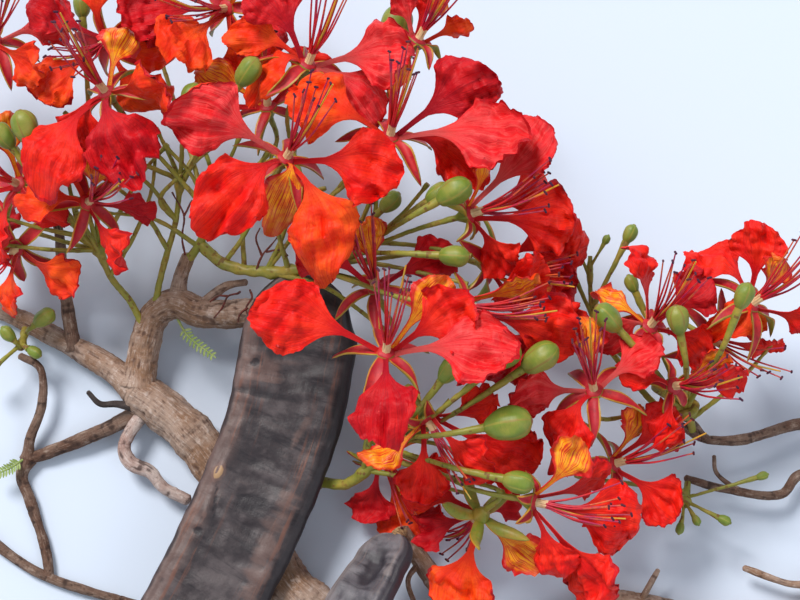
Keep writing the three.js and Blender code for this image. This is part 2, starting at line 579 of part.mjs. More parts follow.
// A petal: a narrow claw that leaves the calyx the way the bloom faces, and a broad rounded
// blade that bends back. `face` is where its upper side looks; `from` cuts the claw short.
function petal(base, along, face, facing, reach, width, from = 0) {
  const side = face.clone().cross(along).normalize();
  const arch = reach * (PETAL_ARCH - PETAL_ARCH_BACK * Math.min(0, along.dot(facing)));
  const at = (share, across, raise = 0) => base.clone()
    .addScaledVector(along, reach * share)
    .addScaledVector(facing, 4 * arch * share * (1 - share))
    .addScaledVector(side, across)
    .addScaledVector(face, raise - PETAL_CUP * across ** 2);
  const half = PETAL_THICKNESS / 2;
  const edge = [[from, CLAW_WIDTH / 2], ...BLADE_OUTLINE.map(([share, wide]) => [share, wide * width])];
  const left = edge.map(([share, wide]) => [share, -wide]);
  const right = edge.map(([share, wide]) => [share, wide]).reverse();
  const outline = [...left, [1, 0], ...right];
  const count = outline.length;
  const points = [];
  for (const raise of [half, -half]) {
    outline.forEach(([share, across]) => points.push(at(share, across, raise)));
    points.push(at(BLADE_MIDDLE, 0, raise));
  }
  const hub = count;
  const under = count + 1;
  const faces = [[0, 1, count - 2], [0, count - 2, count - 1], [hub, count - 2, 1]];
  for (let i = 1; i < count - 2; i += 1) faces.push([hub, i, i + 1]);
  const triangles = faces.flatMap(([a, b, c]) => [[a, c, b], [a + under, b + under, c + under]]);
  for (let i = 0; i < count; i += 1) {
    const j = (i + 1) % count;
    triangles.push([i, j, j + under], [i, j + under, i + under]);
  }
  return solidOf(points, triangles);
}

// The star's rim, a sepal at a time: how far out it turns, and at what angle to the sepal.
const CALYX_SHARE = 0.27;
const SEPAL_OUTLINE = [[CALYX_SHARE, -36], [1, 0]];

// The calyx with its pointed sepals, as one star: thick in the middle, thin at its rim,
// bent back from the way that the bloom faces.
function calyxStar(middle, { facing, across, over }, size) {
  const rim = [];
  for (let i = 0; i < SEPALS; i += 1) {
    for (const [share, swing] of SEPAL_OUTLINE) {
      const angle = (((i + 0.5) * 360) / SEPALS + swing) * DEGREE;
      const reach = Math.max(share * size, CALYX_SHARE);
      rim.push(middle.clone()
        .addScaledVector(across, reach * SEPAL_LENGTH * Math.cos(angle))
        .addScaledVector(over, reach * SEPAL_LENGTH * Math.sin(angle))
        .addScaledVector(facing, -SEPAL_BACK * reach ** 2 - SEPAL_DROP));
    }
  }
  const count = rim.length;
  const front = middle.clone().addScaledVector(facing, CALYX_DOME);
  const back = middle.clone().addScaledVector(facing, -CALYX_LENGTH);
  const triangles = [];
  for (let i = 0; i < count; i += 1) {
    const j = (i + 1) % count;
    triangles.push([i, j, count], [j, i, count + 1]);
  }
  return solidOf([...rim, front, back], triangles);
}

// Steps that a petal may rise, sink or shorten by, and a star may shrink by, to keep clear
// of what is placed.
const RISE_STEPS = [0, 9, -9, 18, -18, 27, -27, 36, -36];
const REACH_STEPS = [1, 0.88, 0.76, 0.64];
const STAR_STEPS = [1, 0.8, 0.62, 0.45, 0.3];

// The first of a petal's poses that keeps clear of all the other pieces and of the blades
// that the bloom already has. It gives the petal and its blade alone.
function clearPetal(name, blades, middle, facing, [bearing, reach, rise, turn], width) {
  for (const shorter of REACH_STEPS) {
    for (const step of RISE_STEPS) {
      const along = heading(bearing, rise + step);
      const face = TO_EYE.clone().addScaledVector(along, -TO_EYE.dot(along)).normalize();
      face.applyAxisAngle(along, turn * DEGREE);
      const out = along.clone().addScaledVector(facing, -along.dot(facing)).normalize();
      const base = middle.clone().addScaledVector(out, CLAW_SEAT);
      const pose = [base, along, face, facing, reach * shorter, width * shorter];
      const blade = petal(...pose, CLAW_SHARE);
      const whole = petal(...pose);
      const apart = blades.every((other) => other.minGap(blade, GAP + SPARE) >= GAP);
      if (apart && isClear(whole, [name])) return { whole, blade };
    }
  }
  return null;
}

// The directions across a bloom, square to the way that it faces.
function bloomAxes(faces) {
  const facing = heading(...faces);
  const across = facing.clone().cross(TO_EYE).normalize();
  const over = facing.clone().cross(across);
  return { facing, across, over };
}

// The calyx star, as large as its neighbours leave room for.
function makeCalyx({ name, at, faces }) {
  const stars = STAR_STEPS.map((size) => calyxStar(seen(at), bloomAxes(faces), size));
  placed.set(name, stars.find((star) => isClear(star)) ?? stars.at(-1));
}

// The petals, each where the others and its neighbours leave it room.
function addPetals({ name, at, faces, petals }) {
  const { facing } = bloomAxes(faces);
  const middle = seen(at).addScaledVector(facing, -CLAW_SINK);
  const blades = [];
  petals.forEach((spec, i) => {
    const width = i === 0 ? STANDARD_WIDTH : PETAL_WIDTH * Math.min(1, spec[1] / FULL_REACH);
    const found = clearPetal(name, blades, middle, facing, spec, width);
    if (!found) return;
    placed.set(name, placed.get(name).add(found.whole));
    blades.push(found.blade);
  });
}

// The brush of stamens: how far from the middle it stands, how much it thins and curves up.
const STAMEN_SEAT = 0.9;
const FILAMENT_TIP = 0.8;
const FILAMENT_CURVE = 0.12;

// The stamens, fanned round the way that the bloom faces.
function addStamens({ name, at, faces }) {
  const { facing, across } = bloomAxes(faces);
  const middle = seen(at);
  const spread = FILAMENT_LENGTH * Math.sin(FILAMENT_SPREAD * DEGREE);
  for (let i = 0; i < FILAMENTS; i += 1) {
    const out = across.clone().applyAxisAngle(facing, (i * 2 * Math.PI) / FILAMENTS);
    const foot = middle.clone().addScaledVector(out, STAMEN_SEAT);
    const tip = middle.clone().addScaledVector(facing, FILAMENT_LENGTH).addScaledVector(out, spread);
    const knee = middle.clone().lerp(tip, 0.5);
    tip.addScaledVector(UP, FILAMENT_CURVE * FILAMENT_LENGTH);
    const radii = [FILAMENT_RADIUS, FILAMENT_TIP * FILAMENT_RADIUS];
    const thread = limb([foot, knee, tip], radii, PEDICEL_SIDES, FILAMENT_LENGTH / 2);
    if (isClear(thread, [name])) placed.set(name, placed.get(name).add(thread));
  }
}

// A young leaf: a thin toothed blade, wide at each pair of leaflets and narrow between. Its
// first stretch is a bare stalk.
const LEAF_STALK = 0.3;
const LEAF_SIDES = 4;

function makeLeaves() {
  for (const { name, from, pairs, rib } of LEAVES) {
    const curve = new THREE.CatmullRomCurve3(rib.map(seen), false, 'centripetal');
    const last = 2 * pairs + 2;
    const rings = [];
    for (let i = 0; i <= last; i += 1) {
      const share = i === 0 ? 0 : THREE.MathUtils.lerp(LEAF_STALK, 1, (i - 1) / (last - 1));
      const along = curve.getTangentAt(share);
      const side = along.clone().cross(TO_EYE).normalize();
      const over = side.clone().cross(along).normalize();
      const wide = i > 0 && i % 2 === 0 ? LEAFLET_LENGTH : LEAF_RIB;
      rings.push(ring(curve.getPointAt(share), side, over, LEAF_SIDES, wide, LEAF_RIB));
    }
    const solid = loft(rings);
    place(name, { solid, halo: solid }, [from]);
  }
}

// Each kind of piece keeps clear of those that are placed before it.
makeLimbs();
makePods();
STALKS.forEach(makeStalk);
BLOOMS.forEach(makeCalyx);
STALKS.forEach(addPedicels);
makeLeaves();
BLOOMS.forEach(addPetals);
BLOOMS.forEach(addStamens);

// The surface colour of a piece, by what it is.
function colourOf(name) {
  const kind = Object.keys(COLOURS).find((word) => name.includes(word)) ?? 'wood';
  return new THREE.MeshStandardMaterial({ ...COLOURS[kind], metalness: 0 });
}

const group = new THREE.Group();
group.position.set(ORIGIN_SHIFT[0], ORIGIN_SHIFT[1], 0);
for (const [name, solid] of placed) {
  const { vertProperties, triVerts } = largest(solid).getMesh();
  const geometry = new THREE.BufferGeometry();
  geometry.setAttribute('position', new THREE.BufferAttribute(vertProperties, 3));
  geometry.setIndex(new THREE.BufferAttribute(triVerts, 1));
  const mesh = new THREE.Mesh(geometry, colourOf(name));
  mesh.name = name;
  group.add(mesh);
}

export default group;
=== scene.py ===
"""A cut flowering branch of a flame tree, lying on a pale floor.

The limbs, pods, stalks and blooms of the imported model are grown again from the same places,
only finer, with slimmer stems and buds, and every surface gets its own finish.
A place is [right, up, height] in millimetres: right and up in the sight plane, then the height
above the floor. Meshes are in metres.
"""

import logging
import math
from dataclasses import dataclass, field, replace
from enum import IntEnum
from typing import Protocol

import bpy
import numpy as np
from mathutils import Matrix, Vector


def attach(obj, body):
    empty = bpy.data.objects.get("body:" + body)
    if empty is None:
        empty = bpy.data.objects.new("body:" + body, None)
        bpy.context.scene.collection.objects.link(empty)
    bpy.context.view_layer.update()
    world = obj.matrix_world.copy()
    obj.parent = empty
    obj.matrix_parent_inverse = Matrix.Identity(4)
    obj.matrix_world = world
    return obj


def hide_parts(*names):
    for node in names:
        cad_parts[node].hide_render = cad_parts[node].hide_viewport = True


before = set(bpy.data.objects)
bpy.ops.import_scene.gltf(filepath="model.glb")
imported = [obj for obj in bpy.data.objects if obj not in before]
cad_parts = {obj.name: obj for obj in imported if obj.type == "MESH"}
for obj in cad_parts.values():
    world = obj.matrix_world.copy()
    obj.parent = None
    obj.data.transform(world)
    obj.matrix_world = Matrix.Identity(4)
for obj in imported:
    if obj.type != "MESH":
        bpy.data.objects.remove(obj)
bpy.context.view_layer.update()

log = logging.getLogger("flame_branch")

MM = 0.001
DEGREE = math.pi / 180

Array = np.ndarray
Draws = np.random.Generator
Piece = bpy.types.Object
Material = bpy.types.Material
Place = tuple[float, float, float]


def unit(vector: Array) -> Array:
    """The same directions at length one, along the last axis."""
    return vector / np.maximum(np.linalg.norm(vector, axis=-1, keepdims=True), 1e-12)


def smooth(low: float, high: float, value: Array) -> Array:
    """A smooth step from 0 at low to 1 at high."""
    share = np.clip((value - low) / (high - low), 0.0, 1.0)
    return share * share * (3.0 - 2.0 * share)


def turned(vector: Array, axis: Array, angle: float) -> Array:
    """A vector turned about a unit axis by an angle in radians."""
    return (vector * math.cos(angle) + np.cross(axis, vector) * math.sin(angle)
            + axis * np.dot(axis, vector) * (1.0 - math.cos(angle)))


def bowed(value: Array, power: float) -> Array:
    """Values from -1 to 1 raised to a power, each with its sign kept."""
    return np.sign(value) * np.abs(value) ** power


def bell(value: Array) -> Array:
    """A hump that is 1 at 0 and dies away beyond 2."""
    return np.exp(-value ** 2)


def beside(*values: Array | float) -> Array:
    """Values side by side on a new last axis, each spread to the shape of all."""
    return np.stack(np.broadcast_arrays(*values), axis=-1)


def moved(start: Array, *moves: tuple[Array, Array]) -> Array:
    """Points moved from a start along directions, each by its own millimetres."""
    for way, size in moves:
        start = start + way * size[..., None] * MM
    return start


def round_angles(sides: int) -> Array:
    """The angles of sides that are spread evenly all round, in radians."""
    return 2 * math.pi * np.arange(sides) / sides


def spokes(sides: int, across: Array, over: Array) -> Array:
    """Directions outward all round.

    Args:
        sides: How many there are.
        across: The first direction, one for all rings or one for each.
        over: The direction a quarter turn on, likewise.

    Returns:
        A column of directions for each side.
    """
    angles = round_angles(sides)[:, None]
    return np.cos(angles) * across[..., None, :] + np.sin(angles) * over[..., None, :]


@dataclass(frozen=True)
class Sight:
    """The eye above the branch and the plane that places are seen in, in metres.

    Attributes:
        rise: Angle of the line of sight above the floor, in radians.
        distance: From the eye to the middle of the sight plane.
        height: Of that middle above the floor.
        shift: From the middle of the sight plane to the origin of the part.
        view_width: Width of the sight plane that the camera takes in.
    """

    rise: float = 78.0 * DEGREE
    distance: float = 0.950
    height: float = 0.045
    shift: tuple[float, float] = (0.00305, 0.0756)
    view_width: float = 0.400

    @property
    def right(self) -> Array:
        """Rightwards in the sight plane."""
        return np.array([1.0, 0.0, 0.0])

    @property
    def up(self) -> Array:
        """Upwards in the sight plane."""
        return np.array([0.0, math.sin(self.rise), math.cos(self.rise)])

    @property
    def to_eye(self) -> Array:
        """From the sight plane to the eye."""
        return np.array([0.0, -math.cos(self.rise), math.sin(self.rise)])

    @property
    def middle(self) -> Array:
        """The middle of the sight plane."""
        return np.array([self.shift[0], self.shift[1], self.height])

    @property
    def eye(self) -> Array:
        """Where the eye is."""
        return self.middle + self.to_eye * self.distance

    def seen(self, place: Place) -> Array:
        """The point of a place, brought along the line of sight to its height."""
        right, up, height = place
        in_plane = self.middle + self.right * right * MM + self.up * up * MM
        share = (height * MM - self.eye[2]) / (in_plane[2] - self.eye[2])
        return self.eye + (in_plane - self.eye) * share

    def route(self, places: list[Place]) -> "SmoothPath":
        """The smooth path through places."""
        return SmoothPath([self.seen(place) for place in places])

    def heading(self, bearing: float, rise: float) -> Array:
        """The direction of a bearing from the right and a rise to the eye, in degrees."""
        flat = math.cos(rise * DEGREE)
        return (self.right * flat * math.cos(bearing * DEGREE)
                + self.up * flat * math.sin(bearing * DEGREE)
                + self.to_eye * math.sin(rise * DEGREE))

    def spot(self, points: Array) -> Array:
        """Where points are seen in the sight plane, in millimetres right and up."""
        ray = points - self.eye
        share = -self.distance / (ray @ self.to_eye)
        offset = self.eye + ray * share[..., None] - self.middle
        return np.stack([offset @ self.right, offset @ self.up], axis=-1) / MM


SIGHT = Sight()


class Ripple:
    """A smooth random field made of plane waves, the same for the same seed.

    Attributes:
        spread: How far a wavelength may stray from the mean, as a share of it.
    """

    spread = 0.5

    def __init__(self, seed: int, size: float, waves: int = 14) -> None:
        """Draw the waves.

        Args:
            seed: Names the field.
            size: Mean wavelength, in the units of the points it is read at.
            waves: How many waves are summed.
        """
        rng = np.random.default_rng(seed)
        pace = 2 * math.pi / (size * rng.uniform(1 - self.spread, 1 + self.spread, waves))
        self.heading = unit(rng.normal(size=(waves, 3))) * pace[:, None]
        self.phase = rng.uniform(0, 2 * math.pi, waves)
        self.scale = math.sqrt(2.0 / waves)

    def at(self, points: Array) -> Array:
        """The field at points, about -1 to 1 for most of them."""
        return np.sin(points @ self.heading.T + self.phase).sum(axis=-1) * self.scale


class SmoothPath:
    """A centripetal curve through points, read by its share of the length."""

    def __init__(self, points: list[Array], fineness: int = 60) -> None:
        """Sample the curve through the points."""
        knots = [2 * points[0] - points[1], *points, 2 * points[-1] - points[-2]]
        samples = []
        for p0, p1, p2, p3 in zip(knots, knots[1:], knots[2:], knots[3:]):
            gaps = [math.sqrt(np.linalg.norm(b - a)) for a, b in ((p0, p1), (p1, p2), (p2, p3))]
            leave = ((p1 - p0) / gaps[0] - (p2 - p0) / (gaps[0] + gaps[1]) + (p2 - p1) / gaps[1]) * gaps[1]
            reach = ((p2 - p1) / gaps[1] - (p3 - p1) / (gaps[1] + gaps[2]) + (p3 - p2) / gaps[2]) * gaps[1]
            t = np.linspace(0, 1, fineness, endpoint=False)[:, None]
            samples.append(p1 + leave * t + (3 * (p2 - p1) - 2 * leave - reach) * t ** 2
                           + (2 * (p1 - p2) + leave + reach) * t ** 3)
        self.samples = np.concatenate([*samples, [points[-1]]])
        steps = np.linalg.norm(np.diff(self.samples, axis=0), axis=1)
        self.distances = np.concatenate([[0.0], np.cumsum(steps)])
        self.length = float(self.distances[-1])

    def at(self, share: Array | float) -> Array:
        """Points at shares of the length."""
        where = np.asarray(share) * self.length
        return np.stack([np.interp(where, self.distances, self.samples[:, k]) for k in range(3)], axis=-1)

    def along(self, share: Array | float) -> Array:
        """Unit directions of the curve at shares of its length."""
        share = np.asarray(share, dtype=float)
        return unit(self.at(np.minimum(share + 0.004, 1.0)) - self.at(np.maximum(share - 0.004, 0.0)))

    def frames(self, shares: Array) -> tuple[Array, Array]:
        """Directions across the curve that turn as little as they can.

        Args:
            shares: Shares of the length, in order.

        Returns:
            Unit directions across and over, a row for each share.
        """
        along = self.along(shares)
        lean = SIGHT.to_eye
        across = np.zeros_like(along)
        for i, heading in enumerate(along):
            lean = lean - heading * np.dot(lean, heading)
            lean = unit(lean if np.linalg.norm(lean) > 1e-6 else np.cross(heading, SIGHT.right))
            across[i] = lean
        return across, np.cross(along, across)

    def rings(self, shares: Array, radius: Array) -> Array:
        """Points in rings round the curve.

        Args:
            shares: Shares of the length, in order.
            radius: In millimetres, a row for each share and a column for each side.

        Returns:
            The points, in the same rows.
        """
        out = spokes(radius.shape[1], *self.frames(shares))
        return self.at(shares)[:, None] + out * radius[..., None] * MM

    def skin(self, shares: Array, radius: Array) -> Array:
        """Places that patterns on a rod's skin are read at, as if the rod were straight.

        Args:
            shares: Shares of the length, in order.
            radius: In millimetres, a row for each share and a column for each side.

        Returns:
            The places in millimetres, the last number down the rod.
        """
        angles = round_angles(radius.shape[1])
        down = (shares * self.length / MM)[:, None]
        return beside(radius * np.cos(angles), radius * np.sin(angles), down)


class Sheaf:
    """Meshes of one kind, gathered to be joined into one piece."""

    def __init__(self) -> None:
        """Start with nothing."""
        self.points: list[Array] = []
        self.marks: list[Array] = []
        self.worn: list[Array] = []
        self.faces: list[Array] = []
        self.looks: list[Array] = []
        self.count = 0

    def add(self, points: Array, faces: list[Array], looks: list[Array], marks: Array,
            worn: Array | None = None) -> None:
        """Add a mesh.

        Args:
            points: Its points, a row each.
            faces: Arrays of faces, each with its own number of corners.
            looks: The finish of each face, an array for each array of faces.
            marks: Where each point falls in its surface's own pattern.
            worn: How proud each point stands of the smooth surface, about -1 to 1; the bark and pod
                finishes paint a highlight where it is high and shade where it is low, and it also carries
                real marks such as pale pores and pod blemishes.
        """
        self.points.append(points)
        self.marks.append(marks)
        self.worn.append(np.zeros(len(points)) if worn is None else worn)
        self.faces.extend(face + self.count for face in faces)
        self.looks.extend(looks)
        self.count += len(points)

    def tube(self, grid: Array, look: Array | int, marks: Array, worn: Array | None = None,
             ends: tuple[int, int] = (0, 0)) -> None:
        """Add a closed tube.

        Args:
            grid: Its points, a row for each ring.
            look: The finish of all faces, or of each face between two rings.
            marks: Pattern places of the points, in the same rows.
            worn: How proud each point stands, in the same rows, for painted highlight and shade and for
                real marks.
            ends: The finish of the first and of the last end.
        """
        rings, sides = grid.shape[:2]
        index = np.arange(rings * sides).reshape(rings, sides)
        after = np.roll(index, -1, axis=1)
        faces = np.stack([index[:-1], after[:-1], after[1:], index[1:]], axis=-1).reshape(-1, 4)
        looks = np.broadcast_to(look, (rings - 1, sides)).reshape(-1)
        middles = np.array([rings * sides, rings * sides + 1])
        first = np.stack([after[0], index[0], np.full(sides, middles[0])], axis=-1)
        last = np.stack([index[-1], after[-1], np.full(sides, middles[1])], axis=-1)
        points = np.concatenate([grid.reshape(-1, 3), [grid[0].mean(axis=0), grid[-1].mean(axis=0)]])
        marks = np.concatenate([marks.reshape(-1, 2), [marks[0].mean(axis=0), marks[-1].mean(axis=0)]])
        worn = None if worn is None else np.concatenate([worn.reshape(-1), [0.0, 0.0]])
        self.add(points, [faces, first, last],
                 [looks, np.full(sides, ends[0]), np.full(sides, ends[1])], marks, worn)

    def rod(self, path: SmoothPath, radii: Array, sides: int, look: Array | int = 0,
            ends: tuple[int, int] = (0, 0)) -> None:
        """Add a smooth round rod.

        Args:
            path: Its middle line.
            radii: In millimetres, one for each ring.
            sides: How many sides it has.
            look: The finish of all faces, or of each face between two rings.
            ends: The finish of the first and of the last end.
        """
        shares = np.linspace(0, 1, len(radii))
        grid = path.rings(shares, radii[:, None] * np.ones(sides))
        marks = beside(np.zeros(sides), (shares * path.length)[:, None])
        self.tube(grid, look, marks, None, ends)

    def blade(self, grid: Array, thickness: float, looks: tuple[Array | int, Array | int],
              marks: Array) -> None:
        """Add a thin blade that is closed all round, thickest in its middle.

        Args:
            grid: Points of its middle surface, rows from the foot to the tip.
            thickness: How thick it is.
            looks: The finish of the faces on its upper side and on its under side.
            marks: Pattern places of the points, in the same rows.
        """
        rows, columns = grid.shape[:2]
        down = np.gradient(grid, axis=0)
        across = np.gradient(grid, axis=1)
        normal = unit(np.cross(down, across))
        inner = (slice(1, -1), slice(1, -1))
        upper = grid.copy()
        upper[inner] += normal[inner] * thickness / 2
        under = (grid - normal * thickness / 2)[inner]
        index = np.arange(rows * columns).reshape(rows, columns)
        below = index.copy()
        below[inner] = rows * columns + np.arange((rows - 2) * (columns - 2)).reshape(rows - 2, columns - 2)
        faces = []
        for sheet, turn in ((index, 1), (below, -1)):
            corners = [sheet[:-1, :-1], sheet[1:, :-1], sheet[1:, 1:], sheet[:-1, 1:]]
            faces.append(np.stack(corners[::turn], axis=-1).reshape(-1, 4))
        shades = [np.broadcast_to(look, (rows - 1, columns - 1)).reshape(-1) for look in looks]
        points = np.concatenate([upper.reshape(-1, 3), under.reshape(-1, 3)])
        both = np.concatenate([marks.reshape(-1, 2), marks[inner].reshape(-1, 2)])
        self.add(points, faces, shades, both)

    def piece(self, name: str, finishes: list["Finish"], slot: str, nodes: list[str]) -> Piece:
        """Join all meshes into one piece of the part.

        Args:
            name: The piece's name.
            finishes: In the order that the faces number them.
            slot: Not used.
            nodes: The nodes that it stands for.

        Returns:
            The piece, riding on the branch.
        """
        mesh = bpy.data.meshes.new(name)
        points = np.concatenate(self.points)
        corners = np.concatenate([face.reshape(-1) for face in self.faces])
        totals = np.concatenate([np.full(len(face), face.shape[1]) for face in self.faces])
        mesh.vertices.add(len(points))
        mesh.vertices.foreach_set("co", points.astype(np.float32).reshape(-1))
        mesh.loops.add(len(corners))
        mesh.loops.foreach_set("vertex_index", corners.astype(np.int32))
        mesh.polygons.add(len(totals))
        starts = np.concatenate([[0], np.cumsum(totals)[:-1]])
        mesh.polygons.foreach_set("loop_start", starts.astype(np.int32))
        mesh.polygons.foreach_set("material_index", np.concatenate(self.looks).astype(np.int32))
        mesh.polygons.foreach_set("use_smooth", np.ones(len(totals), dtype=bool))
        marks = mesh.uv_layers.new(name="marks")
        marks.data.foreach_set("uv", np.concatenate(self.marks)[corners].astype(np.float32).reshape(-1))
        # The relief attribute: the bark and pod finishes paint a highlight where it is high and shade where
        # it is low.
        worn = mesh.attributes.new("worn", "FLOAT", "POINT")
        worn.data.foreach_set("value", np.concatenate(self.worn).astype(np.float32))
        mesh.update(calc_edges=True)
        mesh.validate()
        mesh.set_sharp_from_angle(angle=70 * DEGREE)
        for finish in finishes:
            mesh.materials.append(finish.material())
        piece = bpy.data.objects.new(name, mesh)
        bpy.context.scene.collection.objects.link(piece)
        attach(piece, "root")
        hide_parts(*nodes)
        return piece


def linear(red: int, green: int, blue: int) -> tuple[float, float, float, float]:
    """A colour as a picture shows it, from 0 to 255, as the light it sends back."""
    def light(value: float) -> float:
        """One channel."""
        return value / 12.92 if value <= 0.04045 else ((value + 0.055) / 1.055) ** 2.4
    return (light(red / 255), light(green / 255), light(blue / 255), 1.0)


Colour = tuple[int, int, int]


class Wire:
    """A shader socket that takes part in Python expressions."""

    def __init__(self, shader: "Shader", socket: bpy.types.NodeSocket) -> None:
        """Wrap a socket of a shader."""
        self.shader = shader
        self.socket = socket

    def maths(self, operation: str, *values: "Wire | float") -> "Wire":
        """A Math node on values."""
        return self.shader.node("ShaderNodeMath", {"operation": operation}, dict(enumerate(values)))

    def __add__(self, other: "Wire | float") -> "Wire":
        """The sum."""
        return self.maths("ADD", self, other)

    def __sub__(self, other: "Wire | float") -> "Wire":
        """The difference."""
        return self.maths("SUBTRACT", self, other)

    def __rsub__(self, other: "Wire | float") -> "Wire":
        """The difference, the other way round."""
        return self.maths("SUBTRACT", other, self)

    def __mul__(self, other: "Wire | float") -> "Wire":
        """The product."""
        return self.maths("MULTIPLY", self, other)

    def __neg__(self) -> "Wire":
        """The value with its sign changed."""
        return self.maths("MULTIPLY", self, -1.0)

    __radd__ = __add__
    __rmul__ = __mul__

    def within(self, low: float, high: float) -> "Wire":
        """A smooth step from 0 at low to 1 at high."""
        return self.shader.node("ShaderNodeMapRange", {"interpolation_type": "SMOOTHSTEP"},
                                {"Value": self, "From Min": low, "From Max": high})

    def wave(self) -> "Wire":
        """The sine."""
        return self.maths("SINE", self)


Layer = tuple[Wire, float, float, float, Colour]


class Shader:
    """The nodes of one material. A colour is given as a picture shows it, from 0 to 255."""

    def __init__(self, name: str) -> None:
        """Start a material with one glossy and diffuse surface."""
        self.material = bpy.data.materials.new(name)
        self.material.use_nodes = True
        self.tree = self.material.node_tree
        self.surface = self.tree.nodes["Principled BSDF"]

    def node(self, kind: str, settings: dict[str, object], values: dict[str | int, object],
             output: str | int = 0) -> Wire:
        """Add a node.

        Args:
            kind: The node's type.
            settings: Its properties, set first.
            values: What goes into its sockets, as numbers, colours or wires.
            output: The socket that is read.

        Returns:
            That socket.
        """
        node = self.tree.nodes.new(kind)
        for name, value in settings.items():
            setattr(node, name, value)
        for name, value in values.items():
            self.put(node.inputs[name], value)
        return Wire(self, node.outputs[output])

    def put(self, socket: bpy.types.NodeSocket, value: object) -> None:
        """Link a wire to a socket, or set its value."""
        if isinstance(value, Wire):
            self.tree.links.new(value.socket, socket)
        else:
            socket.default_value = linear(*value) if socket.type == "RGBA" else value

    def mix(self, share: Wire, first: Wire | Colour, second: Colour) -> Wire:
        """Two colours mixed by a share."""
        return self.node("ShaderNodeMix", {"data_type": "RGBA"}, {0: share, 6: first, 7: second}, 2)

    def paint(self, tint: Wire | Colour, *layers: Layer) -> Wire:
        """Lay colours over a tint, each where its mask is high.

        Args:
            tint: What lies below.
            layers: For each its mask, the low and the high that it fades in between, how much it
                covers and its colour.

        Returns:
            The tint with all of them on it.
        """
        for mask, low, high, cover, colour in layers:
            tint = self.mix(mask.within(low, high) * cover, tint, colour)
        return tint

    def place(self) -> Wire:
        """The place of a point in the part, in metres."""
        return self.node("ShaderNodeTexCoord", {}, {}, "Object")

    def marks(self, turns: tuple[float, float, float] = (1.0, 1.0, 1.0)) -> Wire:
        """The place of a point in its surface's own pattern, stretched."""
        uv = self.node("ShaderNodeUVMap", {"uv_map": "marks"}, {})
        return self.node("ShaderNodeVectorMath", {"operation": "MULTIPLY"}, {0: uv, 1: turns})

    def bands(self, fine: float, along: float) -> Wire:
        """A place for patterns that change at one pace along a piece and at another all ways."""
        steps = self.node("ShaderNodeVectorMath", {"operation": "SCALE"}, {0: self.place(), "Scale": fine})
        return self.node("ShaderNodeVectorMath", {"operation": "ADD"},
                         {0: steps, 1: self.marks((0.0, along, 0.0))})

    def part(self, vector: Wire, axis: str) -> Wire:
        """One axis of a vector."""
        return self.node("ShaderNodeSeparateXYZ", {}, {0: vector}, axis)

    def noise(self, vector: Wire, scale: float, detail: float = 3.0, rough: float = 0.55) -> Wire:
        """A cloudy pattern from 0 to 1."""
        return self.node("ShaderNodeTexNoise", {},
                         {"Vector": vector, "Scale": scale, "Detail": detail, "Roughness": rough})

    def worn(self) -> Wire:
        """How proud a point stands of the smooth surface, which the bark and pod finishes paint as
        highlight and shade, with real marks added in.
        """
        return self.node("ShaderNodeAttribute", {"attribute_name": "worn"}, {}, "Fac")

    def bump(self, height: Wire, depth: float) -> None:
        """Raise the surface by a height from 0 to 1, that deep in metres."""
        normal = self.node("ShaderNodeBump", {}, {"Height": height, "Distance": depth})
        self.put(self.surface.inputs["Normal"], normal)

    def dress(self, **values: object) -> Material:
        """Set the surface's sockets, named with _ for a space, and give the material."""
        for name, value in values.items():
            self.put(self.surface.inputs[name.replace("_", " ")], value)
        return self.material


class Finish(Protocol):
    """What each finish can do."""

    def material(self) -> Material:
        """Make the material."""


@dataclass(frozen=True)
class BarkFinish:
    """Bark: two greys or browns in patches, with a painted highlight where it stands proud and painted
    shade in its wrinkles and cracks.
    """

    name: str
    body: Colour
    warm: Colour
    pale: Colour
    dark: Colour
    grain: float = 1.0

    def material(self) -> Material:
        """Make the material."""
        shader = Shader(self.name)
        place = shader.place()
        patches = shader.noise(place, 55.0, 4.0)
        mottle = shader.noise(place, 190.0 * self.grain, 5.0, 0.7)
        speckle = shader.noise(place, 700.0 * self.grain, 4.0, 0.65)
        rings = shader.noise(shader.bands(90.0, 1500.0), 1.0, 3.0, 0.65)
        fibres = shader.noise(shader.marks((1300.0, 130.0, 1.0)), self.grain, 4.0, 0.65)
        proud = shader.worn()
        tint = shader.paint(
            shader.mix(patches.within(0.38, 0.66), self.body, self.warm),
            (fibres, 0.52, 0.7, 0.45, self.dark),
            (1.0 - fibres, 0.53, 0.7, 0.5, self.pale),
            (rings, 0.55, 0.75, 0.35, self.dark),
            (mottle, 0.56, 0.7, 0.5, self.dark),
            (1.0 - mottle, 0.55, 0.68, 0.4, self.pale),
            (speckle, 0.58, 0.78, 0.4, self.pale),
            # Painted highlight where the relief stands proud, painted shade where it sinks.
            (proud, 0.3, 1.3, 0.45, self.pale),
            (-proud, 0.2, 1.3, 0.8, self.dark))
        shader.bump(speckle * 0.4 + mottle * 0.7 + rings * 0.5 - fibres * 0.9, 0.7 * MM)
        return shader.dress(Base_Color=tint, Roughness=speckle * 0.2 + 0.68, Specular_IOR_Level=0.3)


@dataclass(frozen=True)
class CutFinish:
    """A sawn end: pale wood with its year rings and a darker heart."""

    name: str
    wood: Colour
    ring: Colour

    def material(self) -> Material:
        """Make the material."""
        shader = Shader(self.name)
        place = shader.place()
        wobble = shader.noise(place, 160.0, 2.0)
        out = shader.part(shader.marks(), "Y")
        rings = (out * 5200.0 + wobble * 5.0).wave() * 0.5 + 0.5
        tint = shader.mix(rings * 0.5, self.wood, self.ring)
        shader.bump(rings, 0.1 * MM)
        return shader.dress(Base_Color=tint, Roughness=0.8)


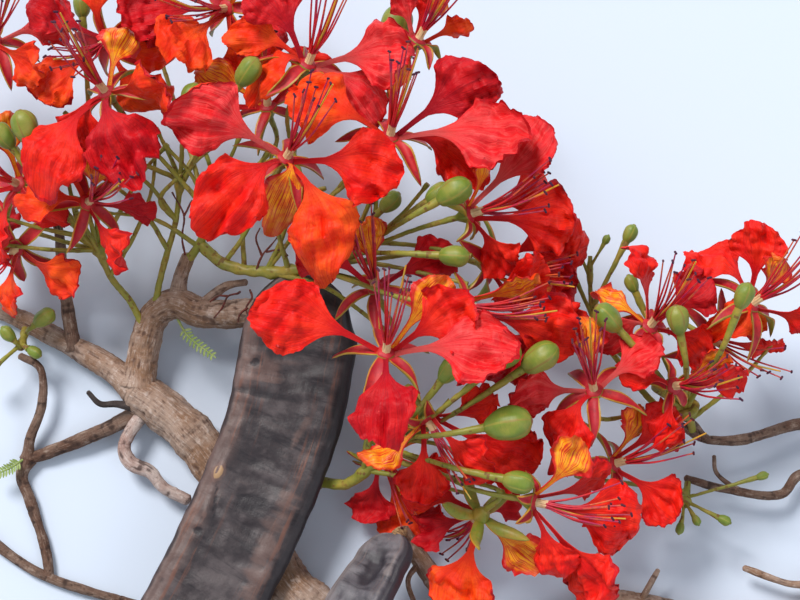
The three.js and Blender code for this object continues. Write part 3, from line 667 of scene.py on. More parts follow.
@dataclass(frozen=True)
class PodFinish:
    """The dry shell of a pod: mottled near black, with a paler band along one rim, a painted highlight
    where its relief stands proud and painted shade where it sinks.
    """

    name: str
    body: Colour
    mottle: Colour
    dark: Colour
    band: Colour
    streak: Colour
    cream: Colour

    def material(self) -> Material:
        """Make the material."""
        shader = Shader(self.name)
        place = shader.place()
        marks = shader.marks()
        wobble = shader.noise(place, 60.0, 3.0)
        across = shader.part(marks, "X") + wobble * 0.3 - 0.15
        clouds = shader.noise(place, 38.0, 6.0, 0.68)
        haze = shader.noise(place, 150.0, 6.0, 0.72)
        fibres = shader.noise(shader.marks((12.0, 26.0, 1.0)), 1.0, 5.0, 0.65)
        bars = shader.noise(shader.bands(30.0, 190.0), 1.0, 4.0, 0.7)
        specks = shader.noise(place, 1100.0, 3.0, 0.7)
        proud = shader.worn()
        tint = shader.paint(
            self.body,
            (clouds, 0.42, 0.66, 0.75, self.mottle),
            (haze, 0.5, 0.7, 0.45, self.mottle),
            (1.0 - haze, 0.5, 0.7, 0.4, self.dark),
            (bars, 0.5, 0.66, 0.75, self.dark))
        left = (-across).within(0.52, 0.86)
        tint = shader.mix(left * (0.25 + fibres * 0.6), tint, self.band)
        streaky = (-across).within(0.2, 0.6) * fibres.within(0.52, 0.66)
        tint = shader.mix(streaky * 0.6, tint, self.streak)
        right = across.within(0.3, 0.62) * (1.0 - across.within(0.72, 0.84)) * fibres.within(0.48, 0.66)
        tint = shader.mix(right * 0.7, tint, self.streak)
        tint = shader.paint(
            tint,
            (across, 0.72, 0.88, 0.9, self.dark),
            (-across, 0.93, 1.0, 0.8, self.dark),
            # Painted highlight where the relief stands proud, painted shade where it sinks, with the real
            # blemishes and the cream knot.
            (proud, 0.4, 1.3, 0.5, self.band),
            (-proud, 0.3, 1.6, 0.85, self.dark),
            (proud, 2.2, 3.2, 0.85, self.cream))
        shader.bump(specks * 0.25 + haze * 0.8 + fibres * 0.35, 0.5 * MM)
        return shader.dress(Base_Color=tint, Roughness=haze * 0.25 + 0.36, Specular_IOR_Level=0.45)


@dataclass(frozen=True)
class PetalFinish:
    """A petal's face: a bright colour that deepens along fine veins and at the foot, with patches of
    painted light, the sunlit colour of light shining through the petal.
    """

    name: str
    body: Colour
    vein: Colour
    painted_glow: Colour
    foot: Colour
    crease: float = 0.5

    def material(self) -> Material:
        """Make the material."""
        shader = Shader(self.name)
        marks = shader.marks()
        along = shader.part(marks, "Y")
        fan = shader.noise(shader.marks((7.5, 0.9, 1.0)), 1.0, 3.0, 0.6)
        fine = shader.noise(shader.marks((26.0, 2.4, 1.0)), 1.0, 2.0, 0.5)
        cloud = shader.noise(shader.place(), 85.0, 3.0, 0.5)
        crinkle = shader.noise(shader.place(), 330.0, 4.0, 0.6)
        off_vein = (fan - 0.5) * (fan - 0.5)
        tint = shader.paint(
            self.body,
            # Patches of painted light: the petal's sunlit colour, standing for light shining through it.
            (cloud, 0.36, 0.66, 0.75, self.painted_glow),
            (fan, 0.52, 0.72, self.crease, self.vein))
        tint = shader.mix((1.0 - off_vein.within(0.0, 0.0016)) * 0.45, tint, self.vein)
        tint = shader.paint(tint, (fine, 0.56, 0.72, 0.35 * self.crease, self.vein))
        tint = shader.mix((1.0 - along.within(0.18, 0.5)) * 0.75, tint, self.foot)
        shader.bump(fan * 0.7 + fine * 0.4 + crinkle * 1.1, 0.7 * MM)
        return shader.dress(Base_Color=tint, Roughness=cloud * 0.15 + 0.44, Specular_IOR_Level=0.2)


@dataclass(frozen=True)
class MarkedFinish:
    """The marked petal's face: yellow, streaked with red from the foot, and red at its rim."""

    name: str
    yellow: Colour
    orange: Colour
    red: Colour

    def material(self) -> Material:
        """Make the material."""
        shader = Shader(self.name)
        marks = shader.marks()
        side = shader.part(marks, "X")
        along = shader.part(marks, "Y")
        streaks = shader.noise(shader.marks((15.0, 1.1, 1.0)), 1.0, 3.0, 0.6)
        cloud = shader.noise(shader.place(), 240.0, 3.0, 0.6)
        rim = (side * side).within(0.3, 0.85)
        tip = along.within(0.78, 1.0)
        tint = shader.mix(cloud.within(0.4, 0.65), self.yellow, self.orange)
        tint = shader.mix(streaks.within(0.5, 0.58) * 0.9, tint, self.red)
        tint = shader.mix(rim, tint, self.red)
        tint = shader.mix(tip * 0.7, tint, self.red)
        shader.bump(streaks, 0.3 * MM)
        return shader.dress(Base_Color=tint, Roughness=0.45, Specular_IOR_Level=0.35)


@dataclass(frozen=True)
class GreenFinish:
    """Soft green growth: a satin skin with a warmer tint in patches and fine pores."""

    name: str
    body: Colour
    warm: Colour
    deep: Colour
    gloss: float = 0.4
    pattern: float = 110.0

    def material(self) -> Material:
        """Make the material."""
        shader = Shader(self.name)
        place = shader.place()
        patches = shader.noise(place, self.pattern, 3.0)
        pores = shader.noise(place, 1500.0, 2.0, 0.6)
        ribs = shader.noise(shader.bands(500.0, 60.0), 1.0, 2.0, 0.5)
        tint = shader.mix(patches.within(0.4, 0.66), self.body, self.warm)
        tint = shader.mix(ribs.within(0.5, 0.75) * 0.4, tint, self.deep)
        shader.bump(pores * 0.5 + ribs * 0.5, 0.12 * MM)
        return shader.dress(Base_Color=tint, Roughness=pores * 0.12 + self.gloss, Specular_IOR_Level=0.45)


@dataclass(frozen=True)
class FloorFinish:
    """A plain pale floor with a faint unevenness."""

    name: str
    tint: Colour

    def material(self) -> Material:
        """Make the material."""
        shader = Shader(self.name)
        cloud = shader.noise(shader.place(), 8.0, 3.0)
        shader.bump(cloud, 0.3 * MM)
        return shader.dress(Base_Color=self.tint, Roughness=0.85, Specular_IOR_Level=0.2)


BARK = BarkFinish("grey_brown_bark", (168, 142, 126), (140, 106, 82), (216, 198, 188), (86, 60, 50))
TWIG_BARK = BarkFinish("dark_twig_bark", (124, 98, 84), (98, 68, 54), (178, 158, 144), (48, 32, 28), 1.4)
PALE_BARK = BarkFinish("pale_twig_bark", (198, 180, 172), (172, 140, 130), (232, 222, 216),
                       (56, 34, 32), 1.4)
DEAD_BARK = BarkFinish("dead_twig_bark", (74, 64, 62), (58, 48, 46), (126, 116, 112), (26, 20, 20), 1.8)
SAWN_WOOD = CutFinish("sawn_wood", (214, 190, 152), (168, 134, 92))
OLD_SHELL = PodFinish("old_pod_shell", (50, 42, 45), (94, 84, 85), (26, 19, 26), (120, 92, 84),
                      (116, 72, 56), (172, 136, 98))
YOUNG_SHELL = PodFinish("young_pod_shell", (84, 80, 86), (126, 120, 124), (44, 39, 46), (140, 128, 126),
                        (112, 94, 90), (180, 160, 130))
SCAR = GreenFinish("scar_wood", (182, 150, 108), (120, 84, 52), (70, 44, 30), 0.7, 900.0)
DRY_STALK = GreenFinish("dry_red_stalk", (110, 44, 34), (74, 34, 28), (48, 22, 20), 0.6, 400.0)

SCARLET = PetalFinish("scarlet_petal", (226, 20, 14), (180, 6, 14), (242, 46, 18), (202, 24, 36), 0.6)
# The orange tone is partly the petals' own orange and partly their red in sunlight, painted in.
ORANGE = PetalFinish("orange_petal", (238, 52, 14), (214, 22, 14), (250, 92, 20), (216, 40, 30), 0.5)
# The crimson tone is the petals' red as it looks in shade, painted in, as well as their own deeper red.
CRIMSON = PetalFinish("crimson_petal", (190, 12, 26), (142, 4, 22), (212, 22, 24), (176, 22, 44), 0.6)
ROSE = PetalFinish("rose_petal_back", (216, 34, 42), (234, 92, 86), (226, 26, 28), (222, 96, 92), 0.7)
MARKED = MarkedFinish("marked_petal", (250, 168, 24), (244, 120, 18), (206, 20, 22))
SEPAL_FACE = GreenFinish("maroon_sepal_face", (172, 18, 36), (196, 36, 38), (112, 10, 30), 0.5)
SEPAL_EDGE = GreenFinish("yellow_sepal_edge", (186, 124, 40), (164, 138, 42), (150, 84, 34))
SEPAL_BACK = GreenFinish("olive_sepal_back", (128, 136, 42), (160, 130, 50), (92, 104, 34))
STALK = GreenFinish("olive_stalk", (132, 130, 44), (158, 138, 52), (98, 98, 36))
STALK_SCAR = GreenFinish("brown_stalk_scar", (116, 84, 36), (150, 126, 44), (72, 46, 24), 0.6)
BUD = GreenFinish("green_bud", (112, 130, 42), (140, 140, 54), (78, 102, 34), 0.38)
BUD_SEAM = GreenFinish("yellow_bud_seam", (142, 140, 52), (140, 116, 50), (112, 110, 40))
BUD_TIP = GreenFinish("brown_bud_tip", (150, 120, 64), (132, 96, 52), (96, 70, 36), 0.5)
LEAF = GreenFinish("young_leaf", (138, 158, 84), (166, 176, 112), (104, 128, 62), 0.5)
COLUMN = GreenFinish("cream_column", (226, 200, 150), (206, 160, 120), (190, 120, 96))
THREAD = GreenFinish("crimson_filament", (206, 30, 34), (170, 20, 56), (130, 12, 50))
THREAD_TIP = GreenFinish("purple_filament", (172, 26, 74), (214, 96, 40), (112, 12, 60))
ANTHER = GreenFinish("purple_anther", (64, 18, 48), (92, 30, 44), (36, 10, 30), 0.8)
STYLE = GreenFinish("yellow_style", (214, 150, 30), (176, 150, 60), (190, 90, 24))
FLOOR = FloorFinish("pale_floor", (206, 216, 232))

# The finishes of each kind of piece, in the order that its faces number them.
BarkLook = IntEnum("BarkLook", "LIVE SAWN DEAD", start=0)
PodLook = IntEnum("PodLook", "SHELL STALK", start=0)
StalkLook = IntEnum("StalkLook", "SKIN SCAR", start=0)
BudLook = IntEnum("BudLook", "SKIN SEAM TIP", start=0)
CalyxLook = IntEnum("CalyxLook", "FACE EDGE BACK", start=0)
PetalLook = IntEnum("PetalLook", "SCARLET ORANGE CRIMSON ROSE MARKED", start=0)
StamenLook = IntEnum("StamenLook", "COLUMN THREAD THREAD_TIP ANTHER STYLE", start=0)


@dataclass(frozen=True)
class Spur:
    """A side twig of a limb.

    Attributes:
        radii: At its foot and at its tip, in millimetres.
        path: Places from the foot to the tip.
        dead: Whether it is long dead and dark grey.
    """

    radii: tuple[float, float]
    path: list[Place]
    dead: bool = False


@dataclass
class Limb:
    """A limb, bough or twig with its side twigs: tapering tubes with the relief of their bark.

    Attributes:
        name: The node that it stands for.
        bark: Its finish.
        radii: At its thick end and at its thin end, in millimetres.
        path: Places from the thick end to the thin one.
        spurs: Its side twigs.
    """

    name: str
    bark: BarkFinish
    radii: tuple[float, float]
    path: list[Place]
    spurs: list[Spur] = field(default_factory=list)

    flare = 0.28
    spur_flare = 0.6
    face = 0.95 * MM
    cap_rings = (0.1, 0.3, 0.5, 0.68, 0.82, 0.93)
    sawn_beyond = 190.0

    def swing(self, around: Array, angle: float, radius: Array) -> Array:
        """How far round the limb each point lies from an angle, in millimetres."""
        facing = around @ np.array([math.cos(angle), math.sin(angle)])
        return np.arccos(np.clip(facing, -1, 1)) * radius

    def relief(self, around: Array, down: Array, radius: Array, seed: int) -> tuple[Array, Array]:
        """The relief of the bark.

        Args:
            around: Unit directions from the middle of the limb, two numbers each.
            down: How far down the limb each point lies, in millimetres.
            radius: Its radius there, in millimetres.
            seed: Names the pattern.

        Returns:
            How far each point stands out, in millimetres, and how proud it looks, which the bark's finish
            paints as highlight and shade.
        """
        rng = np.random.default_rng(seed)
        flat = around * radius[..., None]
        scale = min(1.0, float(radius.mean()) / 9.0)
        local = np.concatenate([flat, down[..., None]], axis=-1)
        lumps = Ripple(seed, 24.0).at(local)
        rings = Ripple(seed + 1, 2.7, 18).at(local * [0.16, 0.16, 1.0])
        cracks = 1.0 - np.abs(Ripple(seed + 2, 5.0, 12).at(local * [1.0, 1.0, 0.22]))
        grain = Ripple(seed + 3, 2.2, 16).at(local * [1.0, 1.0, 0.2])
        height = 0.055 * lumps * radius + scale * (0.12 * rings + 0.2 * grain)
        groove = smooth(0.7, 1.0, cracks)
        height -= 0.42 * scale * groove
        # Painted shade goes into the cracks, and a painted highlight onto the rings and grain.
        worn = 0.2 * rings + 0.42 * grain - 0.75 * groove
        length = float(down.max())
        # Wrinkles across the limb, with painted shade in their troughs.
        for _ in range(max(2, int(length / (2.6 * radius.mean() + 7.0)))):
            at = rng.uniform(0.05, 0.97) * length
            wave = (down - at - 1.2 * around[..., 0] * rng.uniform(-1, 1)) / rng.uniform(0.8, 1.5)
            height += scale * (0.6 * bell(wave / 1.8) - 0.6 * bell(wave))
            worn += 0.3 * bell(wave / 1.8) - 1.0 * bell(wave)
        # Pores, wider than long.
        for _ in range(int(length * float(radius.mean()) / 26)):
            at = rng.uniform(0, length)
            angle = rng.uniform(-math.pi, math.pi)
            size = rng.uniform(0.5, 1.0)
            away = np.hypot((down - at) / (0.8 * size), self.swing(around, angle, radius) / (1.5 * size))
            height += 0.3 * scale * bell(away)
            worn += 0.9 * bell(away)
        # Ringed scars of lost twigs.
        for _ in range(int(length / 34)):
            at = rng.uniform(8, length)
            angle = rng.uniform(-math.pi, math.pi)
            size = rng.uniform(1.5, 2.6)
            away = np.hypot(down - at, self.swing(around, angle, radius)) / (size * scale + 0.3)
            height += scale * (0.7 * bell((away - 1.1) / 0.4) - 0.6 * bell(away / 0.7))
            worn += 0.6 * bell((away - 1.1) / 0.35) - 1.6 * bell(away / 0.75)
        return height, worn

    def stem(self, sheaf: Sheaf, radii: tuple[float, float], path: list[Place], seed: int,
             flare: float, look: BarkLook = BarkLook.LIVE) -> None:
        """Add one tube of bark. An end at the edge of the sight is sawn, and another is grown over.

        Args:
            sheaf: Where it goes.
            radii: At both ends, in millimetres.
            path: Its places.
            seed: Names its pattern.
            flare: How much wider its foot is, as a share of its radius.
            look: The finish of its bark.
        """
        curve = SIGHT.route(path)
        thick, thin = radii
        rings = max(12, int(curve.length / (1.1 * MM)))
        sides = max(18, int(math.pi * (thick + thin) * MM / self.face))
        shares = np.linspace(0, 1, rings)
        angles = round_angles(sides)
        around = np.broadcast_to(beside(np.cos(angles), np.sin(angles)), (rings, sides, 2))
        down = np.broadcast_to((shares * curve.length / MM)[:, None], (rings, sides))
        radius = np.broadcast_to((thick + (thin - thick) * shares)[:, None], (rings, sides))
        height, worn = self.relief(around, down, radius, seed)
        wide = radius * (1 + flare * np.exp(-down / (0.9 * thick))) + height
        grid = curve.rings(shares, wide)
        swing = (angles + math.pi) % (2 * math.pi) - math.pi
        marks = beside(swing * thick * MM, down * MM)
        caps, ends = [], []
        for end, share, way in ((0, 0.0, -1), (-1, 1.0, 1)):
            right, up, _ = path[end]
            sawn = abs(right) > self.sawn_beyond or abs(up) > 0.74 * self.sawn_beyond
            middle = curve.at(share)
            rim = grid[end] - middle
            out = curve.along(share) * way * (0.0 if sawn else 0.55) * radii[end] * MM
            caps.append([middle + rim * part + out * (1 - part ** 2) for part in self.cap_rings])
            ends.append(BarkLook.SAWN if sawn else look)
        first, last = np.array(caps[0]), np.array(caps[1][::-1])
        edge = np.array(self.cap_rings)[:, None] * np.ones((1, sides))
        ring_marks = beside(0.0, edge * thick * MM)
        grid = np.concatenate([first, grid, last])
        marks = np.concatenate([ring_marks, marks, ring_marks[::-1]])
        worn = np.concatenate([0.0 * edge, worn, 0.0 * edge])
        grid[..., 2] = np.maximum(grid[..., 2], 0.0)
        looks = np.full((len(grid) - 1, 1), look)
        looks[:len(self.cap_rings)] = ends[0]
        looks[-len(self.cap_rings):] = ends[1]
        sheaf.tube(grid, looks, marks, worn, (ends[0], ends[1]))

    def build(self, seed: int) -> Piece:
        """Build the limb.

        Args:
            seed: Names its pattern.

        Returns:
            The piece.
        """
        sheaf = Sheaf()
        self.stem(sheaf, self.radii, self.path, seed, self.flare)
        for i, spur in enumerate(self.spurs):
            look = BarkLook.DEAD if spur.dead else BarkLook.LIVE
            self.stem(sheaf, spur.radii, spur.path, seed + 50 + i, self.spur_flare, look)
        slot = {BARK: "bark", TWIG_BARK: "twig_bark", PALE_BARK: "pale_bark"}[self.bark]
        return sheaf.piece(f"{self.name}_bark", [self.bark, SAWN_WOOD, DEAD_BARK], slot, [self.name])


@dataclass(frozen=True)
class Blemish:
    """A mark on a pod's upper face.

    Attributes:
        at: Where it is seen, in millimetres right and up.
        size: Its half length and half width, in millimetres.
        bearing: Which way its length runs, in degrees.
        height: How far it stands out, in millimetres.
        shade: How pale it is, from -1 to 1 or beyond.
    """

    at: tuple[float, float]
    size: tuple[float, float]
    bearing: float
    height: float
    shade: float

    def cover(self, spots: Array) -> Array:
        """How much of it lies on each point.

        Args:
            spots: Where the points are seen, in millimetres right and up.

        Returns:
            From 0 to 1 for each.
        """
        offset = spots - np.array(self.at)
        c = math.cos(self.bearing * DEGREE)
        s = math.sin(self.bearing * DEGREE)
        length = (offset[..., 0] * c + offset[..., 1] * s) / self.size[0]
        breadth = (offset[..., 1] * c - offset[..., 0] * s) / self.size[1]
        return np.exp(-(length ** 2 + breadth ** 2) ** 1.5)


@dataclass
class Pod:
    """A flat dry pod with its stalk.

    Attributes:
        name: The node that it stands for.
        shell: Its finish.
        width: In millimetres.
        thickness: In millimetres.
        roll: How far it is rolled at both ends, in degrees.
        neck: How narrow its neck is, as a share of its width.
        path: Places from the neck to the tip.
        radii: Of the stalk, at its foot and at the pod.
        stalk: Places of the stalk.
        blemishes: Its marks.
        waist: Shares of its length, and how full it is there.
    """

    name: str
    shell: PodFinish
    width: float
    thickness: float
    roll: tuple[float, float]
    neck: float
    path: list[Place]
    radii: tuple[float, float]
    stalk: list[Place]
    blemishes: list[Blemish]
    waist: tuple[tuple[float, float], ...] = ((0, 1.06), (0.2, 1.02), (1, 0.98))

    columns = 104
    step = 1.15 * MM

    def share(self, along: Array, neck: float) -> Array:
        """How wide the pod is at shares of its length: a short neck, an even body, a blunt tip."""
        shoulder = neck + (1 - neck) * np.sqrt(1 - (1 - np.minimum(along / 0.09, 1)) ** 2)
        past = np.clip((along - 0.82) / 0.18, 0, 1)
        return np.where(along < 0.09, shoulder, np.maximum(0.05, np.sqrt(1 - past ** 2.4)))

    def girth(self, along: Array) -> Array:
        """How full the pod is at shares of its length, for the waists it has."""
        return np.interp(along, [row[0] for row in self.waist], [row[1] for row in self.waist])

    def build(self, seed: int) -> Piece:
        """Build the pod.

        Args:
            seed: Names its pattern.

        Returns:
            The piece.
        """
        sheaf = Sheaf()
        self.add_shell(sheaf, seed)
        self.add_stalk(sheaf, seed + 9)
        return sheaf.piece(f"{self.name}_shell", [self.shell, SCAR], "pod_shell", [self.name])

    def add_shell(self, sheaf: Sheaf, seed: int) -> None:
        """Add the flat shell with its rims, bars, ridges and blemishes.

        Args:
            sheaf: Where it goes.
            seed: Names its pattern.
        """
        curve = SIGHT.route(self.path)
        shares = np.linspace(0, 0.992, int(curve.length / self.step))
        along = curve.along(shares)
        roll = np.interp(shares, [0, 1], self.roll) * DEGREE
        side = unit(np.cross(along, SIGHT.to_eye))
        side = np.array([turned(s, a, r) for s, a, r in zip(side, along, roll)])
        over = unit(np.cross(side, along))
        angles = -2 * math.pi * (np.arange(self.columns) + 0.5) / self.columns
        x = bowed(np.cos(angles), 0.8)
        tall = bowed(np.sin(angles), 0.6)
        wide = self.share(shares, self.neck)[:, None] * self.width / 2 * self.girth(shares)[:, None]
        flat_x = x * wide
        flat_z = tall * (self.share(shares, 0.3)[:, None] * self.thickness / 2)
        down = (shares * curve.length / MM)[:, None]
        local = beside(flat_x, flat_z * 2, down)
        inner = 1 - np.abs(x) ** 5
        rim = bell((np.abs(x) - 0.94) / 0.05)
        seam = bell((np.abs(x) - 0.83) / 0.035)
        lumps = Ripple(seed, 34.0).at(local)
        dents = Ripple(seed + 1, 9.0).at(local)
        bars = Ripple(seed + 2, 3.4, 18).at(local * [0.1, 0.1, 1.0])
        chamber = np.sin(down * 2 * math.pi / 11.0 + 1.1 * x + 0.9 * Ripple(seed + 3, 40.0).at(local))
        edge = Ripple(seed + 4, 13.0).at(local * [0.0, 0.0, 1.0])
        ridges = 0.9 * bell((np.abs(x) - 0.7) / 0.13) - 0.7 * bell(x / 0.42)
        height = (0.7 * lumps + 0.2 * dents + 0.06 * bars + 0.22 * chamber) * inner + 0.5 * rim - 0.4 * seam
        height = height + ridges * self.thickness / 12
        # Paler on the bars, dents, chambers and ridges that stand proud and darker in the seam, for painted
        # highlight and shade; the blemishes add real marks.
        worn = 0.18 * bars + 0.16 * dents + 0.16 * chamber * inner - 0.45 * seam + 0.2 * ridges
        sideways = flat_x + 0.12 * edge * x * np.abs(x) ** 6
        points = moved(curve.at(shares)[:, None], (side[:, None], sideways), (over[:, None], flat_z))
        spots = SIGHT.spot(points)
        for mark in self.blemishes:
            cover = mark.cover(spots) * (tall > 0)
            height = height + mark.height * cover
            worn = worn + mark.shade * cover
        points = moved(points, (over[:, None], height * bowed(tall, 0.5)))
        points[..., 2] = np.maximum(points[..., 2], 0.0)
        sheaf.tube(points, PodLook.SHELL, beside(-x, down * MM), worn)

    def add_stalk(self, sheaf: Sheaf, seed: int) -> None:
        """Add the scarred stalk that it hangs from.

        Args:
            sheaf: Where it goes.
            seed: Names its pattern.
        """
        curve = SIGHT.route(self.stalk)
        shares = np.linspace(0, 1, 24)
        radius = np.interp(shares, [0, 1], self.radii)[:, None] * np.ones(20)
        local = curve.skin(shares, radius)
        knots = Ripple(seed, 5.0).at(local)
        grid = curve.rings(shares, radius * (1 + 0.1 * knots))
        marks = beside(0.0, local[..., 2] * MM)
        sheaf.tube(grid, PodLook.STALK, marks, knots, (PodLook.STALK, PodLook.STALK))


Bend = tuple[float, float, int]
NO_BEND: Bend = (0, 0.3, 0)


def bent_path(start: Array, end: Array, arriving: Array, bend: Bend) -> SmoothPath:
    """A bent path.

    Args:
        start: Where it starts.
        end: Where it ends.
        arriving: The direction that it ends in.
        bend: How far it swings out in millimetres, the share of its length that runs straight
            into its end, and which of six ways it swings.

    Returns:
        The path.
    """
    size, straight, turn = bend
    run = unit(end - start)
    swing = turned(unit(np.cross(run, SIGHT.to_eye)), run, math.pi * turn / 3) * size * MM
    before = end - arriving * straight * np.linalg.norm(end - start)
    return SmoothPath([start, (start + before) / 2 + swing, before, end])


@dataclass(frozen=True)
class Bud:
    """A flower bud on its pedicel.

    Attributes:
        at: The place of its middle.
        radius: In millimetres.
        leaves: The share of the stem's length where the pedicel leaves it.
        bend: The bend of the pedicel.
    """

    at: Place
    radius: float
    leaves: float
    bend: Bend = NO_BEND

    rows = 26
    sides = 40
    half_length = 1.3
    stretch = 1.08
    tip_from = 0.97

    def add(self, sheaf: Sheaf, outward: Array, rng: Draws) -> None:
        """Add the bud, an egg with its broad end outward and five seams.

        Args:
            sheaf: Where it goes.
            outward: The direction that it points.
            rng: Draws its lean and its wobble.
        """
        middle = SIGHT.seen(self.at)
        across = unit(np.cross(outward, unit(rng.normal(size=3))))
        over = np.cross(outward, across)
        q = -np.cos(math.pi * np.linspace(0, 1, self.rows))[:, None]
        low = np.sqrt(np.clip(1 - (np.clip(0.2 - q, 0, None) / 1.25) ** 2, 0, 1))
        high = np.sqrt(np.clip(1 - (np.clip(q - 0.2, 0, None) / 0.81) ** 2.3, 0, 1))
        full = low * high
        angles = round_angles(self.sides)
        seams = np.abs(np.arange(self.sides) % 8 - 4)
        bulge = 1 - 0.05 * bell(seams / 0.7) + 0.02 * np.cos(5 * (angles - math.pi / 5))
        local = beside(np.cos(angles) * full, np.sin(angles) * full, q)
        wobble = Ripple(int(rng.integers(1e6)), 1.4).at(local)
        wide = full * bulge * self.radius * (1 + 0.03 * wobble)
        point = np.where(q > self.tip_from, (q - self.tip_from) * 14.0, 0.0)
        lift = q * self.half_length * self.radius * self.stretch + point
        out = spokes(self.sides, across, over) * wide[..., None] * MM
        grid = middle + outward * (lift * MM)[..., None] + out
        seamed = np.broadcast_to(seams == 0, (self.rows - 1, self.sides))
        looks = np.where(seamed, BudLook.SEAM, BudLook.SKIN)
        looks[-1:] = BudLook.TIP
        sheaf.tube(grid, looks, beside(angles, q), wobble, (BudLook.SKIN, BudLook.TIP))


@dataclass(frozen=True)
class Pedicel:
    """A pedicel that ends at a bloom.

    Attributes:
        bloom: The bloom's name.
        leaves: The share of the stem's length where it leaves.
        bend: Its bend.
    """

    bloom: str
    leaves: float
    bend: Bend = NO_BEND


@dataclass
class Stalk:
    """A flower stalk with its knobby stem, its pedicels and its buds.

    Attributes:
        name: The node that it stands for.
        radii: Of the stem, in millimetres.
        stem: Places of the stem.
        buds: Its buds.
        pedicels: Its pedicels to blooms.
        bare: Paths of pedicels that have lost their bloom.
        slim: How thick its stem is, and how thick its buds are, against their plain solids.
    """

    name: str
    radii: tuple[float, float]
    stem: list[Place]
    buds: list[Bud]
    pedicels: list[Pedicel]
    bare: list[list[Place]] = field(default_factory=list)
    slim: tuple[float, float] = (0.85, 0.8)

    bud_stick = (1.4, 1, 1, 1.2, 1.8)
    bloom_stick = (1.7, 1.2, 1.1, 1.15, 1.6)
    bare_stick = (1.4, 1.05, 0.9)

    def rod(self, sheaf: Sheaf, curve: SmoothPath, radii: Array, seed: int, knots: list[float]) -> None:
        """Add a round green rod with knots, and brown scars on it.

        Args:
            sheaf: Where it goes.
            curve: Its middle line.
            radii: In millimetres, spread evenly over its length.
            seed: Names its pattern.
            knots: Shares of the length where it swells.
        """
        rings = max(8, int(curve.length / (1.3 * MM)))
        sides = 18 if max(radii) > 1.8 else 12
        shares = np.linspace(0, 1, rings)
        radius = np.interp(shares, np.linspace(0, 1, len(radii)), radii)
        for knot in knots:
            radius = radius + 0.34 * max(radii) * bell((shares - knot) * curve.length / (2.6 * MM))
        radius = radius[:, None] * np.ones(sides)
        local = curve.skin(shares, radius)
        lumps = Ripple(seed, 5.0).at(local)
        pits = Ripple(seed + 1, 4.2, 10).at(local)
        grid = curve.rings(shares, radius * (1 + 0.05 * lumps) - 0.15 * smooth(1.1, 1.7, pits))
        looks = np.where(pits[:-1] > 1.25, StalkLook.SCAR, StalkLook.SKIN)
        marks = beside(0.0, local[..., 2] * MM)
        sheaf.tube(grid, looks, marks, lumps, (StalkLook.SKIN, StalkLook.SCAR))

    def build(self, seed: int, blooms: dict[str, "Bloom"]) -> list[Piece]:
        """Build the stalk.

        Args:
            seed: Names its pattern.
            blooms: The blooms by name.

        Returns:
            Its pieces.
        """
        rng = np.random.default_rng(seed)
        wood = Sheaf()
        curve = SIGHT.route(self.stem)
        knots = [bud.leaves for bud in self.buds] + [stick.leaves for stick in self.pedicels]
        stem_slim, bud_slim = self.slim
        self.rod(wood, curve, np.array(self.radii) * stem_slim, seed, knots)
        buds = Sheaf()
        for i, plain in enumerate(self.buds):
            bud = replace(plain, radius=plain.radius * bud_slim)
            start, middle = curve.at(bud.leaves), SIGHT.seen(bud.at)
            outward = unit(middle - start)
            outward = unit(outward - SIGHT.to_eye * (outward @ SIGHT.to_eye) * 0.65)
            thin = min(1.15, 0.35 * bud.radius)
            foot = middle - outward * bud.half_length * bud.stretch * bud.radius * MM
            path = bent_path(start, foot + outward * 0.6 * MM, outward, bud.bend)
            self.rod(wood, path, np.array(self.bud_stick) * thin, seed + 10 + i, [])
            bud.add(buds, outward, rng)
        for i, stick in enumerate(self.pedicels):
            bloom = blooms[stick.bloom]
            end = SIGHT.seen(bloom.at) - bloom.facing * bloom.depth * MM
            path = bent_path(curve.at(stick.leaves), end, bloom.facing, stick.bend)
            self.rod(wood, path, np.array(self.bloom_stick), seed + 30 + i, [])
        for i, path in enumerate(self.bare):
            self.rod(wood, SIGHT.route(path), np.array(self.bare_stick), seed + 60 + i, [0.97])
        pieces = [wood.piece(f"{self.name}_rods", [STALK, STALK_SCAR], "green_stalk", [self.name])]
        if self.buds:
            skins = [BUD, BUD_SEAM, BUD_TIP]
            pieces.append(buds.piece(f"{self.name}_buds", skins, "green_stalk", [self.name]))
        return pieces


